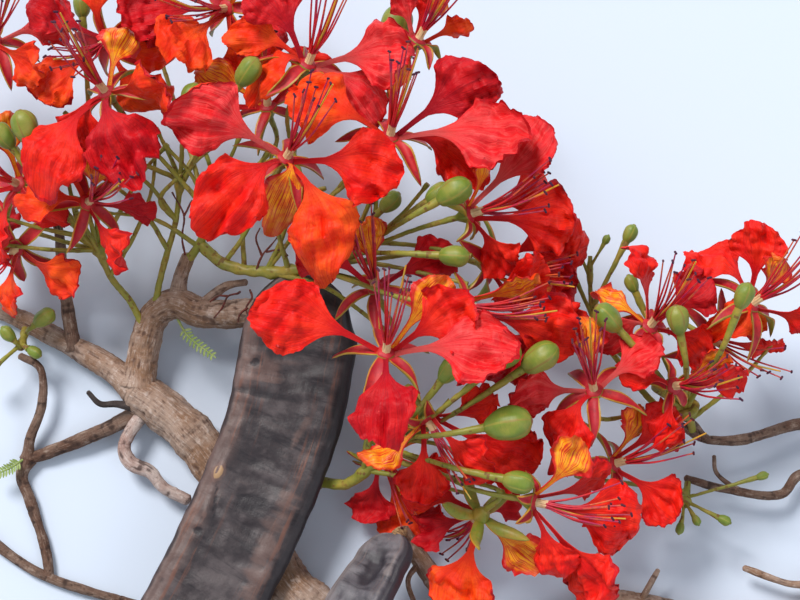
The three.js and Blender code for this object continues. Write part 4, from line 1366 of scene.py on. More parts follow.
@dataclass
class Petal:
    """One petal: a narrow claw, and a broad blade with a crumpled, frilled rim.

    Attributes:
        base: Where its claw starts.
        along: From there to its tip.
        face: Where its upper side looks.
        facing: Which way the bloom faces.
        reach: Its length, in millimetres.
        width: Its width, in millimetres.
        marked: Whether it is the yellow-marked one.
        orange: How likely its tone is the orange one.
    """

    base: Array
    along: Array
    face: Array
    facing: Array
    reach: float
    width: float
    marked: bool
    orange: float

    rows = 31
    columns = 25
    claw_rows = 7
    blade_from = 0.4
    thickness = 0.55
    shares = (0, 0.12, 0.28, 0.38, 0.46, 0.54, 0.62, 0.7, 0.78, 0.86, 0.93, 1)
    widths = (0, 0, 0.02, 0.11, 0.22, 0.34, 0.44, 0.49, 0.5, 0.48, 0.43, 0.35)
    claw = (1.5, 1.2, 0.9, 0, 0, 0, 0, 0, 0, 0, 0, 0)

    def grid(self, rng: Draws) -> tuple[Array, Array, Array, Array]:
        """Lay out its middle surface.

        Args:
            rng: Draws its folds.

        Returns:
            Points, rows from the claw to the rim, then the places across and along, and how
            near the rim each point is.
        """
        v = np.concatenate([np.linspace(0, self.blade_from, self.claw_rows, endpoint=False),
                            np.linspace(self.blade_from, 1, self.rows - self.claw_rows)])[:, None]
        u = bowed(np.linspace(-1, 1, self.columns)[None], 0.86)
        half = np.interp(v, self.shares, np.array(self.widths) * self.width + np.array(self.claw))
        blade = smooth(self.blade_from, 0.7, v)
        share = v * (1 - 0.16 * blade * np.abs(u) ** 2.4)
        across = half * u
        size = self.width / 36
        dx, dy = across, (share - 0.64) * self.reach
        round_angle = np.arctan2(dy, dx)
        rim = np.maximum(blade * np.abs(u) ** 3, np.clip((v - 0.72) / 0.28, 0, 1) ** 2)
        p = rng.uniform(0, 2 * math.pi, 12)
        lobe = 0.7 * np.sin(3 * round_angle + p[0]) + 0.35 * np.sin(6 * round_angle + p[1])
        frill = 0.35 * np.sin(13 * round_angle + p[2]) + 0.3 * np.sin(27 * round_angle + p[3])
        teeth = rng.normal(0.0, 0.2, across.shape) * (rim > 0.86)
        grow = rim * ((lobe + 0.8 * frill) * size + teeth) / np.maximum(np.hypot(dx, dy), 4.0)
        across = across + dx * grow
        share = share + dy * grow / self.reach
        local = beside(across, share * self.reach, 0.0)
        seed = int(rng.integers(1e6))
        out = (share - 0.2) * self.reach
        spread = np.arctan2(across, np.maximum(out, 2.0))
        far = np.hypot(across, out) / (0.8 * self.reach)
        fan = beside(spread, 0.3 * far, 0.0)
        crumple = 1.9 * Ripple(seed, 19.0, 10).at(local) + 0.9 * Ripple(seed + 1, 7.5, 14).at(local)
        crumple = crumple + 0.3 * Ripple(seed + 4, 3.6, 16).at(local)
        folds = Ripple(seed + 2, 0.36, 12).at(fan) * (0.5 + 2.0 * far ** 2)
        folds = folds + Ripple(seed + 3, 0.15, 14).at(fan) * 0.75 * far
        ruffle = (1.7 * np.sin(4 * round_angle + p[6]) + 1.4 * np.sin(9 * round_angle + p[7])
                  + 0.9 * np.sin(17 * round_angle + p[8]))
        lift = blade * (crumple + folds) * size + rim * ruffle * size
        lift = lift + rng.uniform(-0.016, 0.008) * across ** 2
        lift = lift - rng.uniform(0.2, 0.9) * blade * bell(across / 1.3)
        lift = lift - rng.uniform(-0.8, 1.6) * self.reach * np.clip(v - 0.68, 0, 1) ** 2
        lift = lift + across * math.tan(rng.uniform(-16, 16) * DEGREE) * blade
        lift = lift + 0.35 * np.abs(u) ** 2 * (1 - blade)
        bend = self.along @ self.facing
        arch = self.reach * (0.1 - 0.35 * min(0.0, float(bend)))
        side = unit(np.cross(self.face, self.along))
        points = moved(self.base, (self.along, share * self.reach),
                       (self.facing, 4 * arch * share * (1 - share)), (side, across), (self.face, lift))
        return points, np.broadcast_to(u, across.shape), np.broadcast_to(v, across.shape), rim

    def add(self, sheaf: Sheaf, rng: Draws) -> None:
        """Add the petal.

        Args:
            sheaf: Where it goes.
            rng: Draws its folds and its tones.
        """
        points, across, along, rim = self.grid(rng)
        points[..., 2] = np.maximum(points[..., 2], 0.3 * MM)
        near = rim[1:, 1:] * 0.5 + rim[:-1, :-1] * 0.5
        shape = near.shape
        if self.marked:
            front = np.full(shape, PetalLook.MARKED)
            back = np.full(shape, PetalLook.ORANGE)
        else:
            # Some whole petals and some rims take the shaded crimson tone: painted shade together with the
            # petals' own deeper red.
            tone = rng.choice([PetalLook.SCARLET, PetalLook.ORANGE, PetalLook.CRIMSON],
                              p=[0.78 - self.orange, self.orange, 0.22])
            front = np.full(shape, tone)
            front[near > 0.8] = rng.choice([PetalLook.CRIMSON, tone])
            back = np.full(shape, PetalLook.ROSE)
            back[near > 0.86] = PetalLook.CRIMSON
        shift = 10.0 * rng.integers(0, 9)
        marks = beside(across if self.marked else across + shift, along)
        sheaf.blade(points, self.thickness * MM, (front, back), marks)


@dataclass
class Bloom:
    """A bloom: the calyx and its five sepals, the petals, and the brush of stamens.

    Attributes:
        name: That of its node, without the "bloom_" before it.
        at: The place of its middle.
        faces: The bearing and the rise that it faces.
        petals: Bearing, reach, rise and turn of each petal. The first is the narrower one, marked
            with yellow.
        star: How large its sepals are.
        free: Which thirds of its stamens have room.
    """

    name: str
    at: Place
    faces: tuple[float, float]
    petals: list[tuple[float, float, float, float]]
    star: float = 1.0
    free: tuple[int, int, int] = (1, 1, 1)

    petal_width = 36.0
    marked_width = 22.0
    full_reach = 50.0
    depth = 6.6
    filaments = (35, 45)
    style_length = 47.0
    cup = ((-7.2, 1.5), (-5.4, 2.4), (-3.6, 3.4), (-2.0, 4.2), (-0.8, 4.5), (0.1, 4.3), (0.7, 3.6),
           (1.2, 2.4), (1.5, 0.9))
    cup_sides = 30
    sepal_length = 25
    sepal_foot = 0.13
    sepal_thickness = 0.9
    sepal_shares = (0, 0.15, 0.4, 0.62, 0.8, 0.92, 1)
    sepal_widths = (3.3, 4.3, 4.9, 4.4, 3.1, 1.5, 0.15)

    @property
    def facing(self) -> Array:
        """Which way it faces."""
        return SIGHT.heading(*self.faces)

    def add_calyx(self, sheaf: Sheaf, rng: Draws) -> None:
        """Add the cup and its sepals.

        Args:
            sheaf: Where they go.
            rng: Draws the curl of the sepals.
        """
        middle, facing = SIGHT.seen(self.at), self.facing
        across = unit(np.cross(facing, SIGHT.to_eye))
        over = np.cross(facing, across)
        out = spokes(self.cup_sides, across, over)
        ribs = 1 + 0.05 * np.cos(5 * round_angles(self.cup_sides))
        grid = np.array([middle + facing * lift * MM + out * (radius * ribs * MM)[:, None]
                         for lift, radius in self.cup])
        looks = np.full((len(grid) - 1, 1), CalyxLook.BACK)
        looks[-3:] = CalyxLook.FACE
        marks = beside(np.linspace(0, 1, self.cup_sides), np.linspace(0, 0.007, len(grid))[:, None])
        sheaf.tube(grid, looks, marks, None, (CalyxLook.BACK, CalyxLook.FACE))
        for i in range(5):
            angle = (i + 0.5) * 2 * math.pi / 5 + rng.uniform(-0.06, 0.06)
            self.add_sepal(sheaf, across * math.cos(angle) + over * math.sin(angle), rng)

    def add_sepal(self, sheaf: Sheaf, heading: Array, rng: Draws) -> None:
        """Add a sepal, twisted and cupped.

        Args:
            sheaf: Where it goes.
            heading: The direction that it spreads in.
            rng: Draws its curl.
        """
        side = np.cross(self.facing, heading)
        size = max(0.55, self.star)
        t = np.linspace(0, 1, 16)[:, None]
        u = np.linspace(-1, 1, 15)
        reach = self.sepal_foot + (size - self.sepal_foot) * t
        half = np.interp(t, self.sepal_shares, self.sepal_widths) * (0.46 + 0.24 * size)
        twist = rng.uniform(-65, 65) * DEGREE * smooth(0.1, 0.9, t)
        cup = rng.uniform(1.2, 3.0) * u ** 2 * np.sin(math.pi * t)
        curl = cup + 0.4 * np.sin(8 * t + rng.uniform(0, 6) + 2 * u) * t
        sway = rng.uniform(-2.5, 2.5) * t ** 2
        lift = -9.0 * reach ** 2 - 0.6 - rng.uniform(0.0, 4.0) * t ** 3
        points = moved(SIGHT.seen(self.at), (heading, self.sepal_length * reach),
                       (side, half * u * np.cos(twist) + sway - curl * np.sin(twist)),
                       (self.facing, lift + half * u * np.sin(twist) + curl * np.cos(twist)))
        points[..., 2] = np.maximum(points[..., 2], 0.3 * MM)
        edge = np.broadcast_to(np.abs(u[1:] + u[:-1]) / 2 > 0.82, (len(t) - 1, len(u) - 1))
        face = np.where(edge, CalyxLook.EDGE, CalyxLook.FACE)
        back = np.where(edge, CalyxLook.EDGE, CalyxLook.BACK)
        sheaf.blade(points, self.sepal_thickness * MM, (face, back), beside(u, t * 0.025))

    def add_petals(self, sheaf: Sheaf, rng: Draws, orange: float) -> None:
        """Add the petals.

        Args:
            sheaf: Where they go.
            rng: Draws their folds.
            orange: How likely a petal's tone is the orange one.
        """
        facing = self.facing
        middle = SIGHT.seen(self.at) - facing * 0.8 * MM
        for i, (bearing, reach, rise, turn) in enumerate(self.petals):
            width = self.petal_width * min(1.0, reach / self.full_reach) if i else self.marked_width
            along = SIGHT.heading(bearing, rise)
            face = unit(SIGHT.to_eye - along * (SIGHT.to_eye @ along))
            face = turned(face, along, turn * DEGREE)
            base = middle + unit(along - facing * (along @ facing)) * 3 * MM
            Petal(base, along, face, facing, reach, width, i == 0, orange).add(sheaf, rng)

    def thread(self, sheaf: Sheaf, path: SmoothPath, thick: float, looks: Array) -> None:
        """Add one thin thread.

        Args:
            sheaf: Where it goes.
            path: Its middle line.
            thick: Its radius at the foot, in millimetres.
            looks: The finish of each stretch.
        """
        radii = thick * (1 - 0.45 * np.linspace(0, 1, len(looks) + 1))
        sheaf.rod(path, radii, 7, looks[:, None], (int(looks[0]), int(looks[-1])))

    def add_stamens(self, sheaf: Sheaf, rng: Draws) -> None:
        """Add the stamens with their anthers, and the style.

        Args:
            sheaf: Where they go.
            rng: Draws their length and spread.
        """
        middle, facing = SIGHT.seen(self.at), self.facing
        across = unit(np.cross(facing, SIGHT.to_eye))
        looks = np.repeat([StamenLook.COLUMN, StamenLook.THREAD, StamenLook.THREAD_TIP], [2, 7, 5])
        plain = np.full(len(looks), StamenLook.STYLE)
        if any(self.free):
            column = SmoothPath([middle + facing * lift * MM for lift in (0.8, 3.0, 6.2)])
            self.thread(sheaf, column, 2.3, np.full(6, StamenLook.COLUMN))
        for i in range(11):
            angle = i * 2 * math.pi / 10 + rng.uniform(-0.2, 0.2)
            style = i == 10
            if not self.free[round(angle / (2 * math.pi / 3)) % 3]:
                continue
            out = turned(across, facing, angle)
            length = self.style_length if style else rng.uniform(*self.filaments)
            spread = 11.1 * (0.3 if style else rng.uniform(0.35, 1.2)) * length / 43
            foot = middle + (out * (0.3 if style else 1.5) + facing * 0.9) * MM
            neck = middle + (out * (0.3 if style else 1.4) + facing * 6.0) * MM
            tip = middle + (facing * length + out * spread) * MM
            knee = (middle + tip) / 2
            tip = tip + (SIGHT.up * 0.12 * length + unit(rng.normal(size=3)) * 2.0) * MM
            path = SmoothPath([foot, neck, knee, tip], 24)
            if style:
                self.thread(sheaf, path, 0.7, plain)
            else:
                self.thread(sheaf, path, 0.64, looks)
                self.anther(sheaf, tip, path.along(1.0), rng)

    def anther(self, sheaf: Sheaf, tip: Array, along: Array, rng: Draws) -> None:
        """Add an anther across the tip of its thread.

        Args:
            sheaf: Where it goes.
            tip: The tip of the thread.
            along: The direction of the thread there.
            rng: Draws how it hangs.
        """
        length = unit(np.cross(along, unit(rng.normal(size=3))) + along * rng.uniform(-0.4, 0.4))
        across = unit(np.cross(length, SIGHT.to_eye + 0.01))
        over = np.cross(length, across)
        q = np.linspace(-1, 1, 9)
        radius = 0.6 * np.sqrt(np.clip(1 - q ** 4, 0.04, 1)) * (1 - 0.12 * bell(q / 0.3))
        out = spokes(10, across, 0.8 * over)
        grid = np.array([tip + length * place * 1.4 * MM + out * wide * MM
                         for place, wide in zip(q, radius)])
        marks = np.zeros((*grid.shape[:2], 2))
        sheaf.tube(grid, StamenLook.ANTHER, marks, None, (StamenLook.ANTHER, StamenLook.ANTHER))


@dataclass
class YoungLeaf:
    """A young leaf that is just opening: its rib and the pairs of leaflets on it.

    Attributes:
        name: The node that it stands for.
        pairs: How many pairs of leaflets it has.
        rib: Places of the rib.
    """

    name: str
    pairs: int
    rib: list[Place]

    def build(self, seed: int) -> Piece:
        """Build the leaf.

        Args:
            seed: Names its pattern.

        Returns:
            The piece.
        """
        rng = np.random.default_rng(seed)
        sheaf = Sheaf()
        curve = SIGHT.route(self.rib)
        sheaf.rod(curve, 0.75 * (1 - 0.5 * np.linspace(0, 1, 30)), 8)
        t = np.linspace(0, 1, 9)[:, None]
        u = np.linspace(-1, 1, 5)
        for i in range(2 * self.pairs):
            share = 0.3 + 0.68 * i / (2 * self.pairs)
            along = curve.along(share)
            side = unit(np.cross(along, SIGHT.to_eye))
            for way in (-1, 1):
                heading = unit(side * way + along * 0.55 + SIGHT.to_eye * rng.uniform(-0.2, 0.3))
                face = unit(SIGHT.to_eye - heading * (SIGHT.to_eye @ heading))
                across = np.cross(face, heading)
                length = 4.6 * (1 - 0.35 * share) * rng.uniform(0.85, 1.1)
                half = 0.62 * np.sin(math.pi * np.clip(t, 0.06, 0.97)) ** 0.6
                points = moved(curve.at(share), (heading, length * t), (across, half * u),
                               (face, 0.25 * np.abs(u)))
                sheaf.blade(points, 0.35 * MM, (0, 0), beside(u, t))
        return sheaf.piece(f"{self.name}_leaflets", [LEAF], "leaf", [self.name])


@dataclass
class DriedStalks:
    """The thin dried stalks that hang from a bough.

    Attributes:
        carrier: The node that they hang from.
        paths: Places of each.
        radius: At their foot, in millimetres.
    """

    carrier: str
    paths: list[list[Place]]
    radius: float = 0.62

    def build(self, seed: int) -> Piece:
        """Build the stalks.

        Args:
            seed: Names their pattern.

        Returns:
            The piece.
        """
        sheaf = Sheaf()
        for i, path in enumerate(self.paths):
            curve = SIGHT.route(path)
            shares = np.linspace(0, 1, max(12, int(curve.length / (1.2 * MM))))
            local = curve.skin(shares, np.ones((len(shares), 9)))
            knots = Ripple(seed + i, 4.0).at(local)
            radius = self.radius * (1 - 0.4 * shares[:, None]) * (1 + 0.14 * knots)
            sheaf.tube(curve.rings(shares, radius), 0, beside(0.0, local[..., 2] * MM), knots)
        name = f"{self.carrier}_dried_stalks"
        return sheaf.piece(name, [DRY_STALK], "twig_bark", [self.carrier])


LIMBS = [
    Limb("main_limb", BARK, (14, 11.3),
         [(34, -250, 13.6), (34, -214, 13.3), (16, -187, 12.9), (-14, -170, 12.5), (-45, -153, 12),
          (-61, -135, 11.8), (-80, -100, 11.4), (-98, -74, 11.2), (-118, -55, 11), (-131, -46, 11)],
         [Spur((2.4, 1.2), [(-131, -54, 14), (-142, -52, 18), (-150, -52, 20), (-156, -46, 24)],
               dead=True)]),
    Limb("upper_bough", BARK, (8.2, 6.8),
         [(-131, -44, 12), (-128, -24, 15), (-122, -8, 19), (-111, -2, 23), (-100, -6, 25), (-78, -7, 27),
          (-52, -3, 29), (-37, 0, 31)],
         [Spur((4.4, 3.2), [(-112, -3, 23), (-110, 10, 28), (-106, 22, 33)]),
          Spur((2.7, 1.8), [(-100, -3, 26), (-87, 7, 31), (-77, 9, 34)])]),
    Limb("west_bough", BARK, (6.6, 3.6),
         [(-132, -45, 11), (-143, -35, 9.5), (-162, -24, 7.5), (-185, -12, 5.6), (-200, -5, 4.8),
          (-222, 2, 3.9), (-240, 3, 3.3)]),
    Limb("low_west_branch", TWIG_BARK, (4.4, 3),
         [(-130, -57, 9), (-150, -66, 7), (-170, -74, 5), (-187, -80, 3.6)],
         [Spur((2.9, 1.7), [(-186, -79, 4), (-185, -70, 7), (-179, -52, 11), (-180, -34, 14),
                (-190, -28, 16)]),
          Spur((3, 2.4), [(-186, -80, 4), (-189, -88, 3.5), (-185, -100, 3.2), (-177, -126, 3),
                (-175, -140, 3)]),
          Spur((2.6, 2.2), [(-207, -118, 2.8), (-190, -131, 2.8), (-175, -139, 3), (-158, -145, 3),
                (-132, -152, 3)])]),
    Limb("crooked_twig", PALE_BARK, (3.9, 3.1),
         [(-124, -52, 10), (-135, -66, 12), (-138, -74, 12), (-135, -81, 12), (-125, -86, 11.5),
          (-118, -94, 10.5), (-106, -100, 9.5)]),
    Limb("north_twig", TWIG_BARK, (3.7, 2.1),
         [(-163, -25, 9), (-166, -5, 15), (-169, 15, 21), (-170, 30, 27), (-173, 47, 33), (-174, 60, 38)],
         [Spur((1.7, 1.1), [(-173, 46, 33), (-181, 51, 36), (-195, 61, 40)])]),
    Limb("middle_branch", BARK, (6.2, 4.6),
         [(34, -210, 14), (32, -176, 12), (23, -150, 12), (11, -131, 15), (0, -116, 21)],
         [Spur((1.6, 1.1), [(10, -131, 15), (4, -140, 18), (9, -156, 20)])]),
    Limb("right_bough", BARK, (8, 6.2),
         [(33, -219, 13), (52, -196, 9.5), (72, -174, 7.6), (100, -153, 7.1), (125, -154, 6.7),
          (152, -161, 6.3), (178, -160, 6)],
         [Spur((2.2, 1.4), [(101, -152, 9), (101, -140, 15), (99, -127, 19)]),
          Spur((2, 1.2), [(119, -153, 9), (124, -144, 14), (129, -135, 17)])]),
    Limb("right_arm", BARK, (5.9, 4),
         [(176, -160, 6), (203, -155, 5.4), (226, -138, 5), (236, -104, 4.6), (231, -76, 4.6)],
         [Spur((2.2, 1.5), [(229, -136, 5), (214, -141, 8), (196, -142, 10), (172, -134, 12)])]),
    Limb("right_twig_upper", TWIG_BARK, (3.6, 2.1),
         [(231, -78, 5), (222, -64, 10), (200, -62, 16), (170, -70, 22), (151, -69, 27), (141, -63, 30)],
         [Spur((1.8, 1.2), [(152, -69, 27), (146, -61, 31), (131, -57, 34)])]),
    Limb("right_twig_lower", TWIG_BARK, (3, 1.9),
         [(235, -101, 5), (215, -86, 9), (199, -88, 12), (191, -97, 13), (160, -94, 17), (143, -89, 21)],
         [Spur((1.5, 1), [(168, -95, 16), (158, -86, 18), (157, -78, 20)])]),
    Limb("middle_spur", BARK, (3.8, 3),
         [(-82, -101, 12), (-66, -100, 14), (-52, -98, 16), (-39, -91, 21)]),
]

OLD_POD_MARKS = [
    Blemish((-71, -34), (9, 7), 20, 0.0, 1.2),
    Blemish((-62, -38), (8, 6), 60, 0.2, 0.9),
    Blemish((-72.5, -31), (3.0, 2.5), 20, -1.5, -4.5),
    Blemish((-76, -29.5), (4.5, 0.8), 150, 0.3, 1.1),
    Blemish((-69.5, -35.5), (4.0, 0.7), 120, 0.3, 1.1),
    Blemish((-68, -46), (15, 4), -12, -0.4, -1.6),
    Blemish((-40, -45), (12, 4), -12, -0.3, -1.3),
    Blemish((-91, -86), (4.6, 2.7), 66, 1.5, 4.6),
    Blemish((-91, -85), (1.8, 0.6), 66, -1.2, -5.0),
    Blemish((-92.5, -101), (12, 0.8), 84, -0.8, -2.2),
    Blemish((-101, -115), (2.6, 2.2), 0, -0.9, -3.0),
    Blemish((-98, -108), (5, 1), 74, 0.3, 1.2),
    Blemish((-75, -101), (9, 4.5), 10, -0.3, -2.2),
    Blemish((-50, -66), (14, 3), 58, 0.4, 1.3),
    Blemish((-62, -110), (26, 6), 66, 0.3, 1.0),
    Blemish((-72, -140), (20, 8), 66, 0.2, 1.0),
    Blemish((-54, -20), (7, 3), 50, 0.3, 0.8),
]

YOUNG_POD_MARKS = [
    Blemish((-13.5, -131.5), (11, 4.2), 62, -2.4, -2.0),
    Blemish((-20, -142), (14, 2.0), 58, -0.7, -0.5),
    Blemish((-6, -136), (12, 2.4), 66, 0.6, 0.8),
]

PODS = [
    Pod("pod_old", OLD_SHELL, 56, 12, (0, 0), 0.04,
        [(-36, 9, 44), (-47, -9, 44), (-58, -60, 38), (-73, -100, 34), (-97, -150, 31.5), (-126, -202, 24),
         (-157, -255, 16.5), (-190, -307, 9.5), (-221, -359, 5.2)],
        (4, 3.4), [(-46, -2, 31), (-47, -5, 38), (-49, -12, 45)], OLD_POD_MARKS),
    Pod("pod_young", YOUNG_SHELL, 40, 11, (48, -6), 0.1,
        [(-2, -118, 32), (-11, -134, 41), (-22, -154, 48), (-34, -186, 45), (-40, -224, 32),
         (-35, -264, 16), (-22, -298, 5)],
        (3.6, 3), [(1, -117, 21), (-1, -118, 27), (-5, -123, 35)], YOUNG_POD_MARKS,
        waist=((0, 0.8), (0.1, 0.74), (0.25, 0.86), (0.5, 1), (1, 1))),
]

STALKS = [
    Stalk("stalk_west", (3.1, 2.3),
          [(-127, -18, 19), (-134, -2, 27), (-145, 12, 32), (-151, 25, 37), (-160, 32, 42)],
          [Bud((-187, 86, 92), 7.5, 0.985), Bud((-198, 82, 84), 6, 0.935),
           Bud((-159, 147, 66), 5.2, 0.796)],
          [Pedicel("west_0", 0.864, (4, 0.3, 4)), Pedicel("west_3", 0.728),
           Pedicel("west_4", 0.817), Pedicel("west_5", 0.81)],
          [[(-160, 32, 42), (-180, 36, 50), (-201, 42, 54)],
           [(-151, 25, 37), (-172, 25, 46), (-202, 28, 48)],
           [(-160, 32, 42), (-166, 60, 58), (-170, 80, 66)],
           [(-151, 25, 37), (-158, 50, 48), (-168, 70, 54), (-170, 88, 60)],
           [(-151, 25, 37), (-140, 44, 50), (-130, 62, 56), (-116, 78, 62)],
           [(-145, 12, 32), (-132, 34, 44), (-124, 56, 52), (-122, 82, 60)]],
          slim=(0.62, 0.85)),
    Stalk("stalk_leaning", (2.9, 2),
          [(-123, -6, 22), (-120, 10, 32), (-116, 25, 38), (-112, 40, 45), (-110, 60, 52)],
          [Bud((-104, 100, 92), 7, 0.985), Bud((-76, 114, 106), 6.6, 0.935)],
          [Pedicel("top_0", 0.96)],
          [[(-112, 40, 45), (-126, 58, 58), (-150, 74, 68)],
           [(-110, 60, 52), (-116, 74, 62), (-122, 86, 70)],
           [(-112, 40, 45), (-120, 50, 54), (-108, 64, 60), (-92, 78, 66)],
           [(-110, 60, 52), (-124, 66, 58), (-146, 74, 62), (-168, 94, 66)],
           [(-116, 25, 38), (-128, 44, 48), (-144, 58, 54), (-158, 66, 58)]],
          slim=(0.64, 0.85)),
    Stalk("stalk_spur", (3.2, 2.6),
          [(-106, 20, 33), (-101, 27, 38), (-97, 36, 44), (-96, 45, 50)],
          [],
          [Pedicel("west_1", 0.985), Pedicel("west_2", 0.935, (4, 0.3, 1)),
           Pedicel("top_4", 0.885)],
          [[(-97, 36, 44), (-90, 58, 58), (-80, 82, 68)], [(-96, 45, 50), (-104, 62, 62), (-118, 78, 70)],
           [(-97, 36, 44), (-84, 50, 56), (-66, 74, 66)], [(-101, 27, 38), (-122, 40, 50), (-150, 44, 56)],
           [(-96, 45, 50), (-94, 62, 56), (-100, 84, 60), (-98, 104, 60)]],
          slim=(0.75, 0.85)),
    Stalk("stalk_middle", (3.4, 2.7),
          [(-99, 27, 38), (-88, 18, 40), (-67, 14, 46), (-45, 16, 54), (-30, 21, 59), (-14, 29, 63)],
          [Bud((27, 54, 112), 8, 0.985), Bud((19, 53, 98), 6, 0.935), Bud((27, 22, 106), 6.5, 0.885),
           Bud((-5, 49, 84), 5.5, 0.751), Bud((-2, 137, 78), 9.5, 0.785)],
          [Pedicel("top_2", 0.528), Pedicel("top_1", 0.728), Pedicel("top_3", 0.86),
           Pedicel("top_5", 0.81), Pedicel("centre_1", 0.76), Pedicel("centre_3", 0.71),
           Pedicel("centre_4", 0.66), Pedicel("centre_5", 0.427, (13, 0.4, 4))],
          [[(-78, 16, 39), (-77, 42, 50), (-60, 50, 60), (-37, 56, 66)],
           [(-40, 19, 57), (-39, 46, 70), (-28, 57, 76), (-24, 61, 78)],
           [(-67, 14, 46), (-50, 36, 60), (-27, 60, 74)], [(-14, 29, 63), (-12, 50, 76), (-16, 76, 84)],
           [(-14, 29, 63), (2, 44, 78), (14, 58, 88)], [(-14, 29, 63), (10, 27, 74), (36, 22, 84)],
           [(-30, 21, 59), (0, 16, 68), (34, 8, 76)], [(-45, 16, 54), (-20, 10, 62), (8, 4, 68)],
           [(-88, 18, 40), (-76, 36, 52), (-70, 56, 58), (-62, 78, 66)],
           [(-67, 14, 46), (-58, 34, 58), (-54, 56, 64), (-52, 84, 70)]],
          slim=(0.9, 0.8)),
    Stalk("stalk_low", (3.3, 2.7),
          [(-40, -91, 22), (-27, -92, 30), (-17, -85, 37), (-8, -77, 43), (-8, -69, 50)],
          [Bud((54, -62, 104), 10, 0.985), Bud((59, -91, 94), 6.6, 0.888), Bud((25, -35, 94), 6.5, 0.885),
           Bud((53, -28, 104), 7, 0.835), Bud((70, -29, 102), 8.5, 0.785)],
          [Pedicel("centre_2", 0.528), Pedicel("low_1", 0.91), Pedicel("low_2", 0.774),
           Pedicel("low_3", 0.648, (4, 0.3, 3)), Pedicel("low_4", 0.76)],
          [[(-8, -69, 50), (18, -72, 62), (44, -82, 68)], [(-17, -85, 37), (8, -90, 48), (38, -98, 56)],
           [(-8, -77, 43), (-20, -60, 56), (-16, -44, 64)]]),
    Stalk("stalk_east", (2.8, 2.2),
          [(146, -65, 29), (145, -60, 36), (142, -53, 43)],
          [Bud((104, -9, 92), 8.5, 0.985), Bud((139, -10, 98), 7.6, 0.935),
           Bud((172, 2, 104), 6.8, 0.885), Bud((116, 8, 60), 5, 0.835), Bud((103, -20, 58), 5, 0.785)],
          [Pedicel("east_0", 0.96), Pedicel("east_1", 0.91), Pedicel("east_2", 0.86),
           Pedicel("east_3", 0.729), Pedicel("east_4", 0.76)],
          [[(142, -53, 43), (150, -30, 58), (160, -12, 66)],
           [(145, -60, 36), (170, -40, 50), (188, -20, 58)],
           [(142, -53, 43), (124, -40, 54), (112, -28, 60)]],
          slim=(0.8, 0.68)),
    Stalk("stalk_bud_raceme", (2, 1.3),
          [(132, -57, 33), (120, -44, 37), (103, -22, 41), (97, -10, 43), (95, 10, 46), (95, 22, 48)],
          [Bud((86, 31, 52), 3.2, 0.886), Bud((103, 30, 52), 2.4, 0.935), Bud((115, 33, 54), 4.4, 0.708),
           Bud((85, 17, 50), 3.6, 0.626), Bud((81, 3, 50), 4.2, 0.471)],
          []),
    Stalk("stalk_bud_umbel", (2, 1.7),
          [(144, -90, 20), (143, -97, 23), (142, -102, 27)],
          [Bud((127, -105, 30), 3.4, 0.985), Bud((140, -114, 30), 2.8, 0.935),
           Bud((148, -110, 32), 2.6, 0.885), Bud((162, -110, 30), 3.2, 0.835),
           Bud((181, -88, 33), 2.8, 0.706)],
          [Pedicel("east_5", 0.48)]),
    Stalk("stalk_far_west", (2.2, 1.6),
          [(-187, -13, 7), (-188, -18, 12), (-190, -24, 17)],
          [Bud((-178, -9, 22), 5.6, 0.394), Bud((-196, -17, 22), 4.2, 0.935),
           Bud((-183, -26, 20), 3.8, 0.796), Bud((-205, -36, 20), 3.6, 0.835)],
          []),
]

